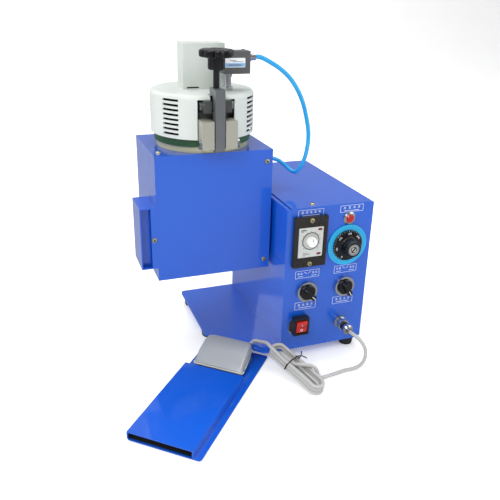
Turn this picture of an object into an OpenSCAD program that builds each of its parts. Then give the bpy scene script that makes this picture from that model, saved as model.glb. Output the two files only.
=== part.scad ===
// Bench-top hot melt glue dispenser: control box, heated pot head with a
// clamped lid, and a foot switch in its tray. Millimetres, +Z up.
// Every module draws in the machine frame: the front left bottom corner of
// the control box, X right, Y back, Z = 0 on top of the base plate.
// placed() then moves it to the centre of the object's footprint.

/* [Control box] */
// Width of the control box
box_w = 130; // [116:1:170]
// Depth of the control box
box_d = 220; // [200:1:280]
// Height of the control box
box_h = 215; // [205:1:270]
// Thickness of every folded sheet
sheet = 1.5; // [1.2:0.1:2]
// Width of the inward flanges that carry the top cover
flange_w = 12; // [10:0.5:16]
// Left control column, from the left edge
col_left = 34; // [32:0.5:40]
// Right control column, from the right edge
col_right = 37; // [34:0.5:42]
// Timer centre, below the top
timer_drop = 48.5; // [46:0.5:60]
// Lamp centre, below the top
lamp_drop = 21.5; // [16:0.5:21.5]
// Thermostat centre, below the top
dial_drop = 61; // [58:0.5:70]
// Selector switch centres, above the bottom
selector_z = 90; // [80:0.5:92]
// Rocker switch centre, above the bottom
rocker_z = 39; // [34:0.5:44]
// Rocker switch centre, from the left edge
rocker_x = 26; // [22:0.5:30]
// Foot switch socket centre, above the bottom
socket_z = 31; // [26:0.5:40]

/* [Base plate] */
// Reach of the base plate to the left of the box
wing_w = 93; // [80:1:120]
// Thickness of the base plate
plate_t = 3; // [2:0.5:5]
// Corner radius of the base plate
plate_r = 6; // [3:1:12]
// Cut corner, along the front edge
cut_x = 68; // [60:1:74]
// Cut corner, along the left edge
cut_y = 74; // [66:1:90]
// Rubber foot diameter
foot_d = 24; // [18:1:30]
// Rubber foot height
foot_h = 15; // [12:1:20]

/* [Head box] */
// Width of the head box
head_w = 160; // [150:1:200]
// Depth of the head box
head_d = 126; // [120:1:160]
// Height of the head box
head_h = 172; // [140:1:210]
// Gap between the head box and the control box
head_gap = 4; // [3:0.5:8]
// Front of the head box, behind the front panel
head_y = 48; // [40:1:60]
// Bottom of the head box, below the top of the control box
head_drop = 103; // [90:1:120]
// Side channel, width out of the wall
channel_out = 22; // [16:1:30]
// Side channel, depth and height
channel_d = 50; // [40:1:70]
channel_h = 86; // [70:1:110]

/* [Pot and lid] */
// Outer radius of the glue pot
pot_r = 56; // [48:0.5:57]
// Wall of the glue pot
pot_wall = 6; // [4:0.5:9]
// Height of the glue pot above the head box
pot_up = 44; // [42:0.5:50]
// Depth of the glue pot below the top of the head box
pot_down = 119; // [100:1:130]
// Outer radius of the lid guard
guard_r = 69; // [68:0.5:72]
// Wall of the lid guard
guard_t = 2; // [1.5:0.25:3]
// Height of the lid guard
guard_h = 55; // [54:0.5:62]
// Vent slots in each group
vent_rows = 8; // [5:1:9]
// Height of one vent slot
vent_h = 3; // [2:0.1:3.8]
// Riser on the lid: width, depth, height
riser_w = 56; // [44:1:64]
riser_d = 30; // [24:1:40]
riser_h = 57; // [40:1:70]

/* [Lid clamp] */
// Width of the clamp arm
arm_w = 12.5; // [10:0.5:14]
// Thickness of the clamp arm
arm_t = 12; // [10:0.5:13]
// Clamp screw radius
screw_r = 4; // [3:0.5:4.5]
// Clamp screw pitch
screw_pitch = 1.25; // [1:0.05:1.5]
// Star knob radius
star_r = 21.5; // [18:0.5:24]
// Radial running clearance of pins and screws
run_gap = 0.05; // [0.02:0.01:0.1]

/* [Foot switch] */
// Yaw of the tray, clockwise from the depth axis
tray_yaw = 41; // [35:1:46]
// Width of the tray
tray_w = 98; // [92:1:120]
// Length of the tray
tray_len = 232; // [190:1:280]
// Width of the heel channel
heel_w = 88; // [80:1:91]
// Height of the heel channel
heel_h = 12; // [9:0.5:14]
// Pedal width, length, front and rear height over the tray floor
pedal_w = 73; // [62:1:76]
pedal_len = 47; // [40:1:54]
pedal_front = 9; // [8:0.5:11]
pedal_rear = 32; // [31:0.5:36]
// Rear of the pedal, in front of the rear edge of the tray
pedal_inset = 17.5; // [17:0.5:24]
// Foot switch cable diameter
cable_d = 5; // [4:0.25:5.5]

/* [Hidden] */
$fn = 64;
eps = 0.01;

// Driving heights and centres
floor_z = -plate_t - foot_h;
head_x = -head_gap - head_w;
head_z = box_h - head_drop;
head_top = head_z + head_h;
pot_x = head_x + head_w / 2;
pot_y = head_y + head_d / 2;
ring_h = 8;
collar_h = 10;
flange_h = 4;
guard_z = head_top + ring_h + collar_h;
guard_top = guard_z + guard_h;
pot_top = head_top + pot_up;
lid_gap = 0.2;
lid_t = 7.8;
lid_top = pot_top + lid_gap + lid_t;
right_x = box_w - col_right;
timer_z = box_h - timer_drop;
lamp_z = box_h - lamp_drop;
dial_z = box_h - dial_drop;

// Clamp: the arm turns on a pin in the pot's two ears
pin_r = 3.5;
pin_y = pot_y - 76.5;
pin_z = head_top + 15;
arm_y = pin_y - 6.5;
arm_top = guard_top + 9;
block_d = 26;
block_h = 8;
screw_y = pin_y + 11.5;
pad_r = 5.5;
pad_t = 4;
pad_z = arm_top - block_h - 0.5 - pad_t;
ear_gap = arm_w / 2 + 1.25;
ear_out = 23;
lug_out = 18;
lug_gap = arm_w / 2 + 2.25;
lug_pin_y = screw_y + 2.5;
lug_pin_z = pad_z - 6 - pin_r;
knob_z = arm_top + 22;
hub_h = 14.6;
star_h = 9.4;

// Lid hinge behind the pot
hinge_r = 5.5;
hinge_y = pot_y + guard_r + 5;
hinge_z = head_top + 14;

// Air parts on the lid
pipe_x = pot_x + 27.5;
pipe_y = pot_y - 25;
pipe_r = 4.75;
block_x = pot_x + 20;
block_w = 35;
block_y = pipe_y - 10;
air_z = guard_top + 21;
air_h = 28;
hose_r = 3;
hose_z = air_z + 20;
wall_hose_y = 100;
wall_hose_z = head_top - 27;

// Foot switch, in the tray's own frame: x across, y along (0 at the rear
// edge, negative towards the heel), z up from the floor
pedal_y1 = -pedal_inset;
pedal_y0 = pedal_y1 - pedal_len;
pedal_x0 = 9;
pedal_x1 = pedal_x0 + pedal_w;
pedal_gap = 10.5;
heel_y1 = pedal_y0 - pedal_gap;
pedal_skin = 2.5;
lip_z = 5;
tread_pin_y = pedal_y0 + 7;
tread_pin_z = 6.5;
tread_pin_r = 1.6;
tray_corner = 4;
gland_x = 74;
gland_z = 22.5;
gland_len = 6;
spring_y = pedal_y1 - 16;
tray_rear = [-wing_w + 5, cut_y + 2];
function tray_at(x, y) = [
    tray_rear[0] + x * cos(tray_yaw) + y * sin(tray_yaw),
    tray_rear[1] - x * sin(tray_yaw) + y * cos(tray_yaw)];
// Height of the treadle's top face at a place along the tray
function tread_z(y) = pedal_front + (pedal_rear - pedal_front) * (y - pedal_y0) / pedal_len;

// The object's footprint without the foot switch cable, for the origin
air_out = 18;
x_min = tray_at(tray_corner, -tray_len + tray_corner)[0] - tray_corner;
y_min = tray_at(tray_w - tray_corner, -tray_len + tray_corner)[1] - tray_corner;
x_max = box_w;
y_max = box_d + air_out;
module placed() translate([-(x_min + x_max) / 2, -(y_min + y_max) / 2, -floor_z]) children();
module in_tray() translate([tray_rear[0], tray_rear[1], floor_z]) rotate(-tray_yaw) children();

// Cylinders along X and Y, and a box given by two corners
module rod_x(r, x0, x1, y, z) translate([x0, y, z]) rotate([0, 90, 0]) cylinder(r = r, h = x1 - x0);
module rod_y(r, y0, y1, x, z) translate([x, y1, z]) rotate([90, 0, 0]) cylinder(r = r, h = y1 - y0);
module rod_z(r, z0, z1, x, y) translate([x, y, z0]) cylinder(r = r, h = z1 - z0);
module span(a, b) translate(a) cube(b - a);
module tube_z(r0, r1, z0, z1, x, y) translate([x, y, z0]) rotate_extrude()
    translate([r0, 0]) square([r1 - r0, z1 - z0]);

// A round tube of n sides along a list of points, one closed polyhedron
function unit(v) = v / norm(v);
function heading(p, i) = unit(p[min(i + 1, len(p) - 1)] - p[max(i - 1, 0)]);
function side_of(d) = unit(cross(d, abs(d[2]) < 0.9 ? [0, 0, 1] : [1, 0, 0]));
function ring_points(p, i, r, n) = let (d = heading(p, i), a = side_of(d), b = cross(a, d))
    [for (k = [0:n - 1]) p[i] + r * (cos(360 * k / n) * a + sin(360 * k / n) * b)];
module sweep_tube(p, r, n = 8) {
    last = (len(p) - 1) * n;
    polyhedron(
        points = [for (i = [0:len(p) - 1]) each ring_points(p, i, r, n)],
        faces = concat(
            [[for (k = [0:n - 1]) k]],
            [for (i = [0:len(p) - 2]) for (k = [0:n - 1]) let (a = i * n + k, b = i * n + (k + 1) % n)
                each [[a, a + n, b], [b, a + n, b + n]]],
            [[for (k = [n - 1:-1:0]) last + k]]));
}
// Smooth curve through chosen points: Catmull-Rom, m steps a span
function blend4(a, b, c, d, t) = 0.5 * (2 * b + (c - a) * t + (2 * a - 5 * b + 4 * c - d) * t * t
    + (3 * b - 3 * c + d - a) * t * t * t);
function smooth(p, m) = [for (i = [0:len(p) - 2]) for (j = [0:m - 1])
    blend4(p[max(i - 1, 0)], p[i], p[i + 1], p[min(i + 2, len(p) - 1)], j / m), p[len(p) - 1]];

// Foot switch cable: out of the gland, round onto the hank
function tray_pt(x, y, z) = [each tray_at(x, y), floor_z + z];
gland_end = pedal_y1 - 1 + gland_len;
cable_start = [tray_pt(gland_x, gland_end + 0.05, gland_z), tray_pt(gland_x, gland_end + 5, gland_z),
    [-33, 25.2, 4.6], [-28.4, 25.2, 4.7], [-24.6, 20.4, 4.8], [-21.4, 11, 5], [-19.7, 3.5, 5],
    [-17.2, -3, 5], [-14.5, -8, 5]];
// and from the hank along the floor and up into the plug
plug_y = -33;
lie_z = floor_z + cable_d / 2;
plug_end = [right_x, plug_y, socket_z];
cable_end = [[10, -43, -7], [16, -41, -9], [22, -43, -12.5], [29, -48, lie_z + 0.5],
    [36, -53, lie_z], [45, -57.5, lie_z], [56, -59.5, lie_z], [66, -58.5, lie_z],
    plug_end + [-18, -24, -46.5], plug_end + [-9, -24, -46.5], plug_end + [-1, -26, -44],
    plug_end + [6, -28, -39], plug_end + [11, -28, -31], plug_end + [13, -26, -21],
    plug_end + [11, -23, -12], plug_end + [7, -18, -5], plug_end + [3, -11, -1],
    plug_end + [0.5, -4, 0], plug_end];
// Hank of cable, leaning on the front edge of the base plate
hank_at = [16.5, -84, -7.8];
hank_yaw = 20;
hank_tilt = 11;
hank_run = 77;
hank_w = 24;
hank_t = 16;
// Air hose, from the fitting on the lid round to the one in the wall
hose_from = [block_x + block_w + 10.1, pipe_y, hose_z];
hose_to = [-head_gap + 12.9, wall_hose_y, wall_hose_z];
hose_mid = [[2, 84, 107], [15, 81, 99], [28, 78, 87.5], [38, 74, 73], [46, 70, 55], [51, 66, 34],
    [53, 62, 16], [52, 60, -1], [50, 61, -16], [48, 65, -28], [46, 71, -38], [45, 79, -43.5],
    [43, 88, -44.5], [39, 95, -41], [33, 99, -35.5]];
hose_route = concat([hose_from, hose_from + [5, 0, -0.1], hose_from + [11, 0, -2]],
    [for (p = hose_mid) p + [0, 0, head_top]],
    [hose_to + [17, 0, -3.5], hose_to + [9, 0, -0.5], hose_to + [4, 0, 0], hose_to]);

// ---------- base plate and control box ----------
blue = "#2f66d8";
steel = "#b9bcc0";

module base_plate() color(blue) translate([0, 0, -plate_t]) linear_extrude(plate_t)
    offset(r = plate_r, $fn = 24) offset(delta = -plate_r)
        polygon([[box_w, 0], [-wing_w + cut_x, 0], [-wing_w, cut_y], [-wing_w, box_d], [box_w, box_d]]);

foot_in = 14;
foot_spots = [[box_w - foot_in, 16], [box_w - foot_in, box_d - 16], [-wing_w + foot_in, box_d - 16],
    [10, 18], [-wing_w + foot_in, cut_y + 26]];
module rubber_feet() color("#1c1c1e") for (p = foot_spots) translate([p[0], p[1], floor_z])
    rotate_extrude() polygon([[0, 0], [foot_d / 2 - 2, 0], [foot_d / 2, foot_h], [0, foot_h]]);

spacer_y = [head_y + 32, head_y + 102];
spacer_z = [head_z + 23, box_h - 20];
bolt_r = 3;
bolt_gap = 0.2;
inlet_x = box_w - 45;
inlet_z = 60;
inlet_w = 28;
inlet_h = 20;
air_x = 30;
air_zr = 60;
air_thread = 6;

module box_shell() color(blue) difference() {
    span([0, sheet, 0], [box_w, box_d, box_h - sheet]);
    span([sheet, 2 * sheet, sheet], [box_w - sheet, box_d - sheet, box_h - 2 * sheet]);
    span([flange_w, flange_w, box_h - 3 * sheet], [box_w - flange_w, box_d - flange_w, box_h]);
    span([flange_w, 0, flange_w], [box_w - flange_w, 3 * sheet, box_h - flange_w]);
    for (y = spacer_y) for (z = spacer_z) rod_x(bolt_r + bolt_gap, -1, 2 * sheet, y, z);
    span([inlet_x - inlet_w / 2 - 0.2, box_d - 2 * sheet, inlet_z - inlet_h / 2 - 0.2],
        [inlet_x + inlet_w / 2 + 0.2, box_d + 1, inlet_z + inlet_h / 2 + 0.2]);
    rod_y(air_thread + 0.2, box_d - 2 * sheet, box_d + 1, air_x, air_zr);
    rod_z(1.7, box_h - 3 * sheet, box_h, cover_screw_x, cover_screw_y);
}

lamp_r = 7;
stem_r = 11;
socket_stem = 7;
thermo_stem = 4.5;
timer_w = 48.5;
timer_h = 72.5;
timer_in_w = 39;
timer_in_h = 46;
rocker_w = 23;
rocker_h = 27;
screw_off = timer_h / 2 - 4.7;
module front_panel() color(blue) difference() {
    span([0, 0, 0], [box_w, sheet, box_h - sheet]);
    span([col_left - timer_in_w / 2, -1, timer_z - timer_in_h / 2],
        [col_left + timer_in_w / 2, sheet + 1, timer_z + timer_in_h / 2]);
    rod_y(lamp_r + 0.2, -1, 3, right_x, lamp_z);
    rod_y(thermo_stem + 0.3, -1, 3, right_x, dial_z);
    rod_y(stem_r + 0.2, -1, 3, col_left + 1, selector_z);
    rod_y(stem_r + 0.2, -1, 3, right_x + 1, selector_z);
    rod_y(socket_stem + 0.2, -1, 3, right_x, socket_z);
    span([rocker_x - rocker_w / 2 + 2, -1, rocker_z - rocker_h / 2 + 2],
        [rocker_x + rocker_w / 2 - 2, sheet + 1, rocker_z + rocker_h / 2 - 2]);
    for (s = [-1, 1]) rod_y(1.7, -1, 3, col_left, timer_z + s * screw_off);
}

cover_in = 6;
cover_screw_x = 40;
cover_screw_y = 9;
module top_cover() color(blue) difference() {
    span([cover_in, 0, box_h - sheet], [box_w - cover_in, box_d, box_h]);
    rod_z(1.7, box_h - 2 * sheet, box_h + 1, cover_screw_x, cover_screw_y);
}

// One M3 pan head screw, head at the origin, shank along -Z
module pan_screw(h = 7) rotate_extrude() polygon([[0, -h], [1.5, -h], [1.5, 0], [3.4, 0], [3, 1.6],
    [1.8, 2.2], [0, 2.4]]);
cover_edge = 8;
head_screw_z = [head_z + 13, head_top - 16];
module panel_screws() color("#d9d4bd") {
    translate([cover_screw_x, cover_screw_y, box_h]) pan_screw();
    for (s = [-1, 1]) translate([col_left, -frame_out, timer_z + s * screw_off]) rotate([90, 0, 0])
        pan_screw(frame_out + 5);
    for (z = head_screw_z) translate([head_x + head_w - cover_edge, head_y, z]) rotate([90, 0, 0]) pan_screw();
    translate([head_x + 9, pot_y - 45, head_top]) pan_screw();
    translate([head_x - 4, head_y, head_z + 60]) rotate([90, 0, 0]) pan_screw(5);
}

// ---------- timer ----------
frame_out = 6;
timer_in = 62;
module timer_frame() color("#3a3430") difference() {
    span([col_left - timer_w / 2, -frame_out, timer_z - timer_h / 2],
        [col_left + timer_w / 2, 0, timer_z + timer_h / 2]);
    span([col_left - timer_in_w / 2, -frame_out - 1, timer_z - timer_in_h / 2],
        [col_left + timer_in_w / 2, 1, timer_z + timer_in_h / 2]);
    for (s = [-1, 1]) rod_y(1.7, -frame_out - 1, 1, col_left, timer_z + s * screw_off);
}
module timer_unit() color("#e6e8e6") difference() {
    span([col_left - timer_in_w / 2 + 0.2, -frame_out + 1, timer_z - timer_in_h / 2 + 0.2],
        [col_left + timer_in_w / 2 - 0.2, timer_in, timer_z + timer_in_h / 2 - 0.2]);
    rod_y(2, -frame_out, 2, col_left, timer_z + 2);
}
module timer_knob() color("white") union() {
    rod_y(7, -frame_out - 8, -frame_out + 0.5, col_left, timer_z + 2);
    rod_y(2 - run_gap, -frame_out, 0, col_left, timer_z + 2);
}

// ---------- lamp, thermostat ----------
module lamp_bezel() color("silver") translate([right_x, 0, lamp_z]) rotate([90, 0, 0]) rotate_extrude()
    polygon([[lamp_r - 1, -18], [lamp_r, -18], [lamp_r, 0], [9.2, 0], [9.2, 1.6], [7.4, 3], [lamp_r - 1, 3]]);
module lamp_lens() color("#c01828") translate([right_x, 0, lamp_z]) rotate([90, 0, 0]) rotate_extrude()
    polygon([[0, -16], [lamp_r - 1.05, -16], [lamp_r - 1.05, 3.2], [4.5, 4.6], [0, 5.2]]);
ring_r = 30;
skirt_r = 22.5;
module thermostat_ring() color("#38c2ee") translate([right_x, 0, dial_z]) rotate([90, 0, 0]) difference() {
    cylinder(r = ring_r, h = 2);
    translate([0, 0, -1]) cylinder(r = thermo_stem + 0.3, h = 4);
}
module thermostat_body() color("#c8c8c4") translate([right_x, sheet, dial_z]) difference() {
    union() {
        span([-21, 0, -16], [21, 26, 16]);
        rod_y(thermo_stem, -sheet - 2, 1, 0, 0);
    }
    rod_y(3, -sheet - 3, 8, 0, 0);
}
module thermostat_knob() color("#151517") translate([right_x, 0, dial_z]) rotate([90, 0, 0]) union() {
    rotate_extrude() polygon([[0, 2.4], [skirt_r, 2.4], [skirt_r, 4.2], [14, 6], [12.2, 7], [11, 21], [0, 21]]);
    translate([0, 0, -6]) cylinder(r = 3 - run_gap, h = 9);
}

// ---------- selector switches ----------
module selector_body(x) color("#c9ccd0") translate([x, 0, selector_z]) difference() {
    union() {
        rotate([90, 0, 0]) rotate_extrude() polygon([[0, -14], [stem_r, -14], [stem_r, 0], [15, 0],
            [15, 2], [13, 4], [0, 4]]);
        span([-14, 12, -20], [14, 46, 20]);
    }
    rod_y(4, -5, 8, 0, 0);
}
module selector_knob(x, turn) color("#17181a") translate([x, 0, selector_z]) rotate([90, turn, 0])
    translate([0, 0, 0]) union() {
        translate([0, 0, 4.2]) cylinder(r = 11.5, h = 3.8);
        translate([-9, -3.5, 8 - eps]) cube([23, 7, 7]);
        translate([0, 0, -6]) cylinder(r = 4 - run_gap, h = 11);
    }
module left_selector_body() selector_body(col_left + 1);
module right_selector_body() selector_body(right_x + 1);
module left_selector_knob() selector_knob(col_left + 1, 45);
module right_selector_knob() selector_knob(right_x + 1, 60);

// ---------- rocker switch, foot socket ----------
rocker_out = 12;
module rocker_bezel() color("silver") translate([rocker_x, 0, rocker_z]) rotate([90, 0, 0]) difference() {
    translate([-1, -3.5, 0]) cylinder(r = 15.5, h = 2);
    translate([-rocker_w / 2 + 1.8, -rocker_h / 2 + 1.8, -1]) cube([rocker_w - 3.6, rocker_h - 3.6, 4]);
}
module rocker_housing() color("#161618") translate([rocker_x, 0, rocker_z]) difference() {
    union() {
        span([-rocker_w / 2, -rocker_out, -rocker_h / 2], [rocker_w / 2, -2, rocker_h / 2]);
        span([-rocker_w / 2 + 2.2, -3, -rocker_h / 2 + 2.2], [rocker_w / 2 - 2.2, 18, rocker_h / 2 - 2.2]);
    }
    span([-8.5, -rocker_out - 1, -10.5], [8.5, -1, 10.5]);
    rod_x(1.3, -10.5, 10.5, -7, 0);
}
module rocker_button() color("#c8281e") translate([rocker_x, 0, rocker_z]) union() {
    translate([-8.1, 0, 0]) rotate([90, 0, 90]) linear_extrude(16.2)
        polygon([[-6, -9], [-11.5, -9.4], [-13.4, 0], [-14.6, 8.4], [-9, 9.2]]);
    rod_x(1.25, -9.9, 9.9, -7, 0);
}
module foot_socket() color("#cfcdc4") translate([right_x, 0, socket_z]) rotate([90, 0, 0]) rotate_extrude()
    polygon([[0, -16], [socket_stem, -16], [socket_stem, 0], [9.5, 0], [9.5, 3], [8, 3.6], [8, 9], [0, 9]]);
module foot_plug() color("#b8b4a8") translate([right_x, 0, socket_z]) rotate([90, 0, 0]) difference() {
    rotate_extrude() polygon([[0, 9.2], [8.6, 9.2], [8.6, 14], [6.4, 14.6], [6.4, 22], [7.6, 22.6],
        [7.6, 27], [5.2, 29.5], [4.2, -plug_y], [0, -plug_y]]);
    translate([0, 0, -plug_y - 2]) cylinder(r = cable_d / 2 + 0.1, h = 5);
}

// ---------- foot switch cable ----------
module foot_cable() color("#c9c9c7") {
    sweep_tube(smooth(cable_start, 2), cable_d / 2);
    sweep_tube(smooth(cable_end, 3), cable_d / 2);
}
module cable_hank() color("#c9c9c7") translate(hank_at) rotate([hank_tilt, 0, hank_yaw])
    translate([0, 0, -hank_t / 2]) union() {
        cylinder(r = hank_w / 2, h = hank_t);
        translate([-hank_w / 2, 0, 0]) cube([hank_w, hank_run, hank_t]);
        translate([0, hank_run, 0]) cylinder(r = hank_w / 2, h = hank_t);
    }

// ---------- rear inlets ----------
module power_inlet() color("#19191b") translate([inlet_x, box_d, inlet_z]) difference() {
    union() {
        span([-25, 0, -12], [25, 2.5, 12]);
        span([-inlet_w / 2, -24, -inlet_h / 2], [inlet_w / 2, 1, inlet_h / 2]);
    }
    difference() {
        span([-12, -15, -8], [12, 3, 8]);
        for (x = [-7, 0, 7]) span([x - 1, -16, -2], [x + 1, -2, 2]);
    }
    for (s = [-1, 1]) rod_y(1.7, -1, 4, s * 20, 0);
}
module air_inlet() color("#c8b070") translate([air_x, box_d, air_zr]) rotate([-90, 0, 0]) difference() {
    rotate_extrude() polygon([[0, -9], [air_thread, -9], [air_thread, 0], [9, 0], [9, 5], [7, 6], [7, air_out], [0, air_out]]);
    translate([0, 0, 2]) cylinder(r = hose_r + 0.1, h = air_out);
    translate([0, 0, -10]) cylinder(r = 2, h = 20);
}
module solenoid_valve() color("#50545a") translate([air_x, box_d - sheet, air_zr]) difference() {
    union() {
        span([-14, -34, -14], [14, 0, 14]);
        rod_z(11, 14, 44, 0, -17);
    }
    rod_y(air_thread + 0.2, -10, 1, 0, 0);
    rod_y(2, -35, 0, 0, 0);
}

// ---------- head box ----------
module head_shell() color(blue) difference() {
    union() {
        difference() {
            span([head_x, head_y + sheet, head_z], [head_x + head_w, head_y + head_d, head_top - sheet]);
            span([head_x + sheet, head_y, head_z - 1], [head_x + head_w - sheet, head_y + head_d - sheet, head_top]);
        }
        for (x = [head_x + sheet, head_x + head_w - sheet - 11])
            span([x, head_y + sheet, head_z], [x + 11, head_y + 2 * sheet, head_top - sheet]);
        span([head_x + sheet, head_y + 2 * sheet, head_top - 2 * sheet],
            [head_x + sheet + 14, head_y + head_d - sheet, head_top - sheet]);
    }
    for (y = spacer_y) for (z = spacer_z) rod_x(bolt_r + bolt_gap, -head_gap - 2 * sheet, 1, y, z);
    rod_x(5.2, -head_gap - 2 * sheet, 1, wall_hose_y, wall_hose_z);
    for (z = head_screw_z) rod_y(1.7, head_y, head_y + 3 * sheet, head_x + head_w - cover_edge, z);
    rod_z(1.7, head_top - 3 * sheet, head_top, head_x + 9, pot_y - 45);
}
module head_front_cover() color(blue) difference() {
    span([head_x, head_y, head_z], [head_x + head_w, head_y + sheet, head_top - sheet]);
    for (z = head_screw_z) rod_y(1.7, head_y - 1, head_y + 2 * sheet, head_x + head_w - cover_edge, z);
}
module head_top_plate() color(blue) difference() {
    span([head_x, head_y, head_top - sheet], [head_x + head_w, head_y + head_d, head_top]);
    rod_z(pot_r + 1, head_top - 2 * sheet, head_top + 1, pot_x, pot_y);
    rod_z(1.7, head_top - 2 * sheet, head_top + 1, head_x + 9, pot_y - 45);
}
channel_in = 9;
module side_channel() color(blue) translate([head_x, head_y, head_z + 19]) difference() {
    span([-channel_out, 0, 0], [0, channel_d, channel_h]);
    span([-channel_out + sheet, channel_in + sheet, sheet], [1, channel_d - sheet, channel_h - sheet]);
    span([-channel_out + sheet, sheet, sheet], [-sheet, channel_in, channel_h - sheet]);
    rod_y(1.7, -1, 2 * sheet, -4, 41);
    span([-channel_out + sheet, -1, sheet], [-7.5, sheet + 1, channel_h - sheet]);
}
module head_spacers() color(steel) for (y = spacer_y) for (z = spacer_z) translate([0, y, z])
    rotate([0, 90, 0]) rotate_extrude() polygon([[0, -head_gap - sheet - 3], [5, -head_gap - sheet - 3],
        [5, -head_gap - sheet], [bolt_r, -head_gap - sheet], [bolt_r, -head_gap], [8, -head_gap], [8, 0],
        [bolt_r, 0], [bolt_r, sheet], [5, sheet], [5, sheet + 4], [0, sheet + 4]]);

// ---------- glue pot ----------
pot_floor = head_top - pot_down;
pot_base = 8;
boss_r = 14;
boss_h = 16;
module pot_ears(y0, y1, x0, x1, z0, z1) for (s = [-1, 1])
    span([s < 0 ? pot_x - x1 : pot_x + x0, y0, z0], [s < 0 ? pot_x - x0 : pot_x + x1, y1, z1]);
module glue_pot() color("#cfcdc4") difference() {
    union() {
        rod_z(pot_r, pot_floor, pot_top, pot_x, pot_y);
        rod_z(pot_r + 6, guard_z, guard_z + flange_h, pot_x, pot_y);
        rod_z(boss_r, pot_floor - boss_h, pot_floor + 1, pot_x, pot_y);
        pot_ears(pin_y - 6, pot_y - pot_r + 6, ear_gap, ear_out, head_top + ring_h + 1, pot_top);
        pot_ears(pot_y + pot_r - 5, hinge_y, 9.5, 17, hinge_z - 5, hinge_z + 3);
        for (s = [-1, 1]) rod_x(hinge_r, pot_x + (s < 0 ? -17 : 9.5), pot_x + (s < 0 ? -9.5 : 17), hinge_y, hinge_z);
    }
    rod_z(pot_r - pot_wall, pot_floor + pot_base, pot_top + 1, pot_x, pot_y);
    rod_z(4, pot_floor - boss_h - 1, pot_floor + pot_base + 1, pot_x, pot_y);
    rod_z(8, pot_floor - boss_h - 1, pot_floor - 4, pot_x, pot_y);
    rod_x(pin_r + run_gap, pot_x - 30, pot_x + 30, pin_y, pin_z);
    rod_x(2.5 + run_gap, pot_x - 30, pot_x + 30, hinge_y, hinge_z);
}
module heater_band() color("#8f8a80") difference() {
    union() {
        tube_z(pot_r + 0.05, pot_r + 4, pot_floor + 25, pot_floor + 75, pot_x, pot_y);
        span([pot_x - 12, pot_y + pot_r + 1, pot_floor + 35], [pot_x + 12, pot_y + pot_r + 5, pot_floor + 65]);
    }
    span([pot_x - 1, pot_y + pot_r - 2, pot_floor + 24], [pot_x + 1, pot_y + pot_r + 6, pot_floor + 76]);
}
module pot_collar() color("#2f5a3a") difference() {
    tube_z(pot_r + 0.05, pot_r + 9, head_top + ring_h, guard_z, pot_x, pot_y);
    span([pot_x - ear_out - 0.5, pot_y - 80, head_top], [pot_x + ear_out + 0.5, pot_y - 40, guard_z + 1]);
    span([pot_x - 18, pot_y + 40, head_top], [pot_x + 18, pot_y + 80, guard_z + 1]);
}
module base_ring() color("#d0cfb4") difference() {
    tube_z(pot_r + 0.05, pot_r + 6, head_top, head_top + ring_h, pot_x, pot_y);
    span([pot_x - arm_w / 2 - 1, pot_y - 80, head_top + 3], [pot_x + arm_w / 2 + 1, pot_y - 40, guard_z]);
}
nozzle_len = 30;
module glue_nozzle() color("#c9a650") translate([pot_x, pot_y, pot_floor - boss_h]) rotate_extrude()
    polygon([[1, 12], [8, 12], [8, 0], [11, 0], [11, -10], [8, -12], [8, -20], [3, -nozzle_len],
        [1, -nozzle_len]]);

// ---------- lid clamp ----------
module clamp_pin() color(steel) union() {
    rod_x(pin_r, pot_x - ear_out - 0.5, pot_x + ear_out + 3, pin_y, pin_z);
    for (s = [-1, 1]) rod_x(5.5, pot_x + (s < 0 ? -ear_out - 3.5 : ear_out + 0.1),
        pot_x + (s < 0 ? -ear_out - 0.1 : ear_out + 3.5), pin_y, pin_z);
}
module clamp_arm() color("#6a6e70") difference() {
    union() {
        span([pot_x - arm_w / 2, arm_y, pin_z], [pot_x + arm_w / 2, arm_y + arm_t, arm_top]);
        intersection() {
            span([pot_x - arm_w / 2, arm_y, pin_z - 14], [pot_x + arm_w / 2, arm_y + arm_t, pin_z + 1]);
            rod_x(11, pot_x - 20, pot_x + 20, pin_y, pin_z);
        }
        span([pot_x - arm_w / 2, arm_y, arm_top - block_h], [pot_x + arm_w / 2, arm_y + block_d, arm_top]);
    }
    rod_x(pin_r + run_gap, pot_x - 20, pot_x + 20, pin_y, pin_z);
    rod_z(screw_r + run_gap, arm_top - block_h - 1, arm_top + 1, pot_x, screw_y);
}
module screw_pad() color(steel) difference() {
    rod_z(pad_r, pad_z, pad_z + pad_t, pot_x, screw_y);
    rod_z(screw_r + run_gap, pad_z + 1.5, pad_z + pad_t + 1, pot_x, screw_y);
}
module clamp_screw() color("#4a4c4e") rod_z(screw_r, pad_z + 1.6, knob_z + hub_h, pot_x, screw_y);
lobes = 8;
module clamp_knob() color("#131315") translate([pot_x, screw_y, knob_z]) difference() {
    union() {
        cylinder(r = 10.5, h = hub_h);
        translate([0, 0, hub_h]) cylinder(r = star_r - 4.5, h = star_h);
        for (k = [0:lobes - 1]) rotate(360 * k / lobes) translate([star_r - 4.5, 0, hub_h])
            cylinder(r = 4.5, h = star_h);
    }
    translate([0, 0, -1]) cylinder(r = screw_r + 0.02, h = hub_h + 1);
}

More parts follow.
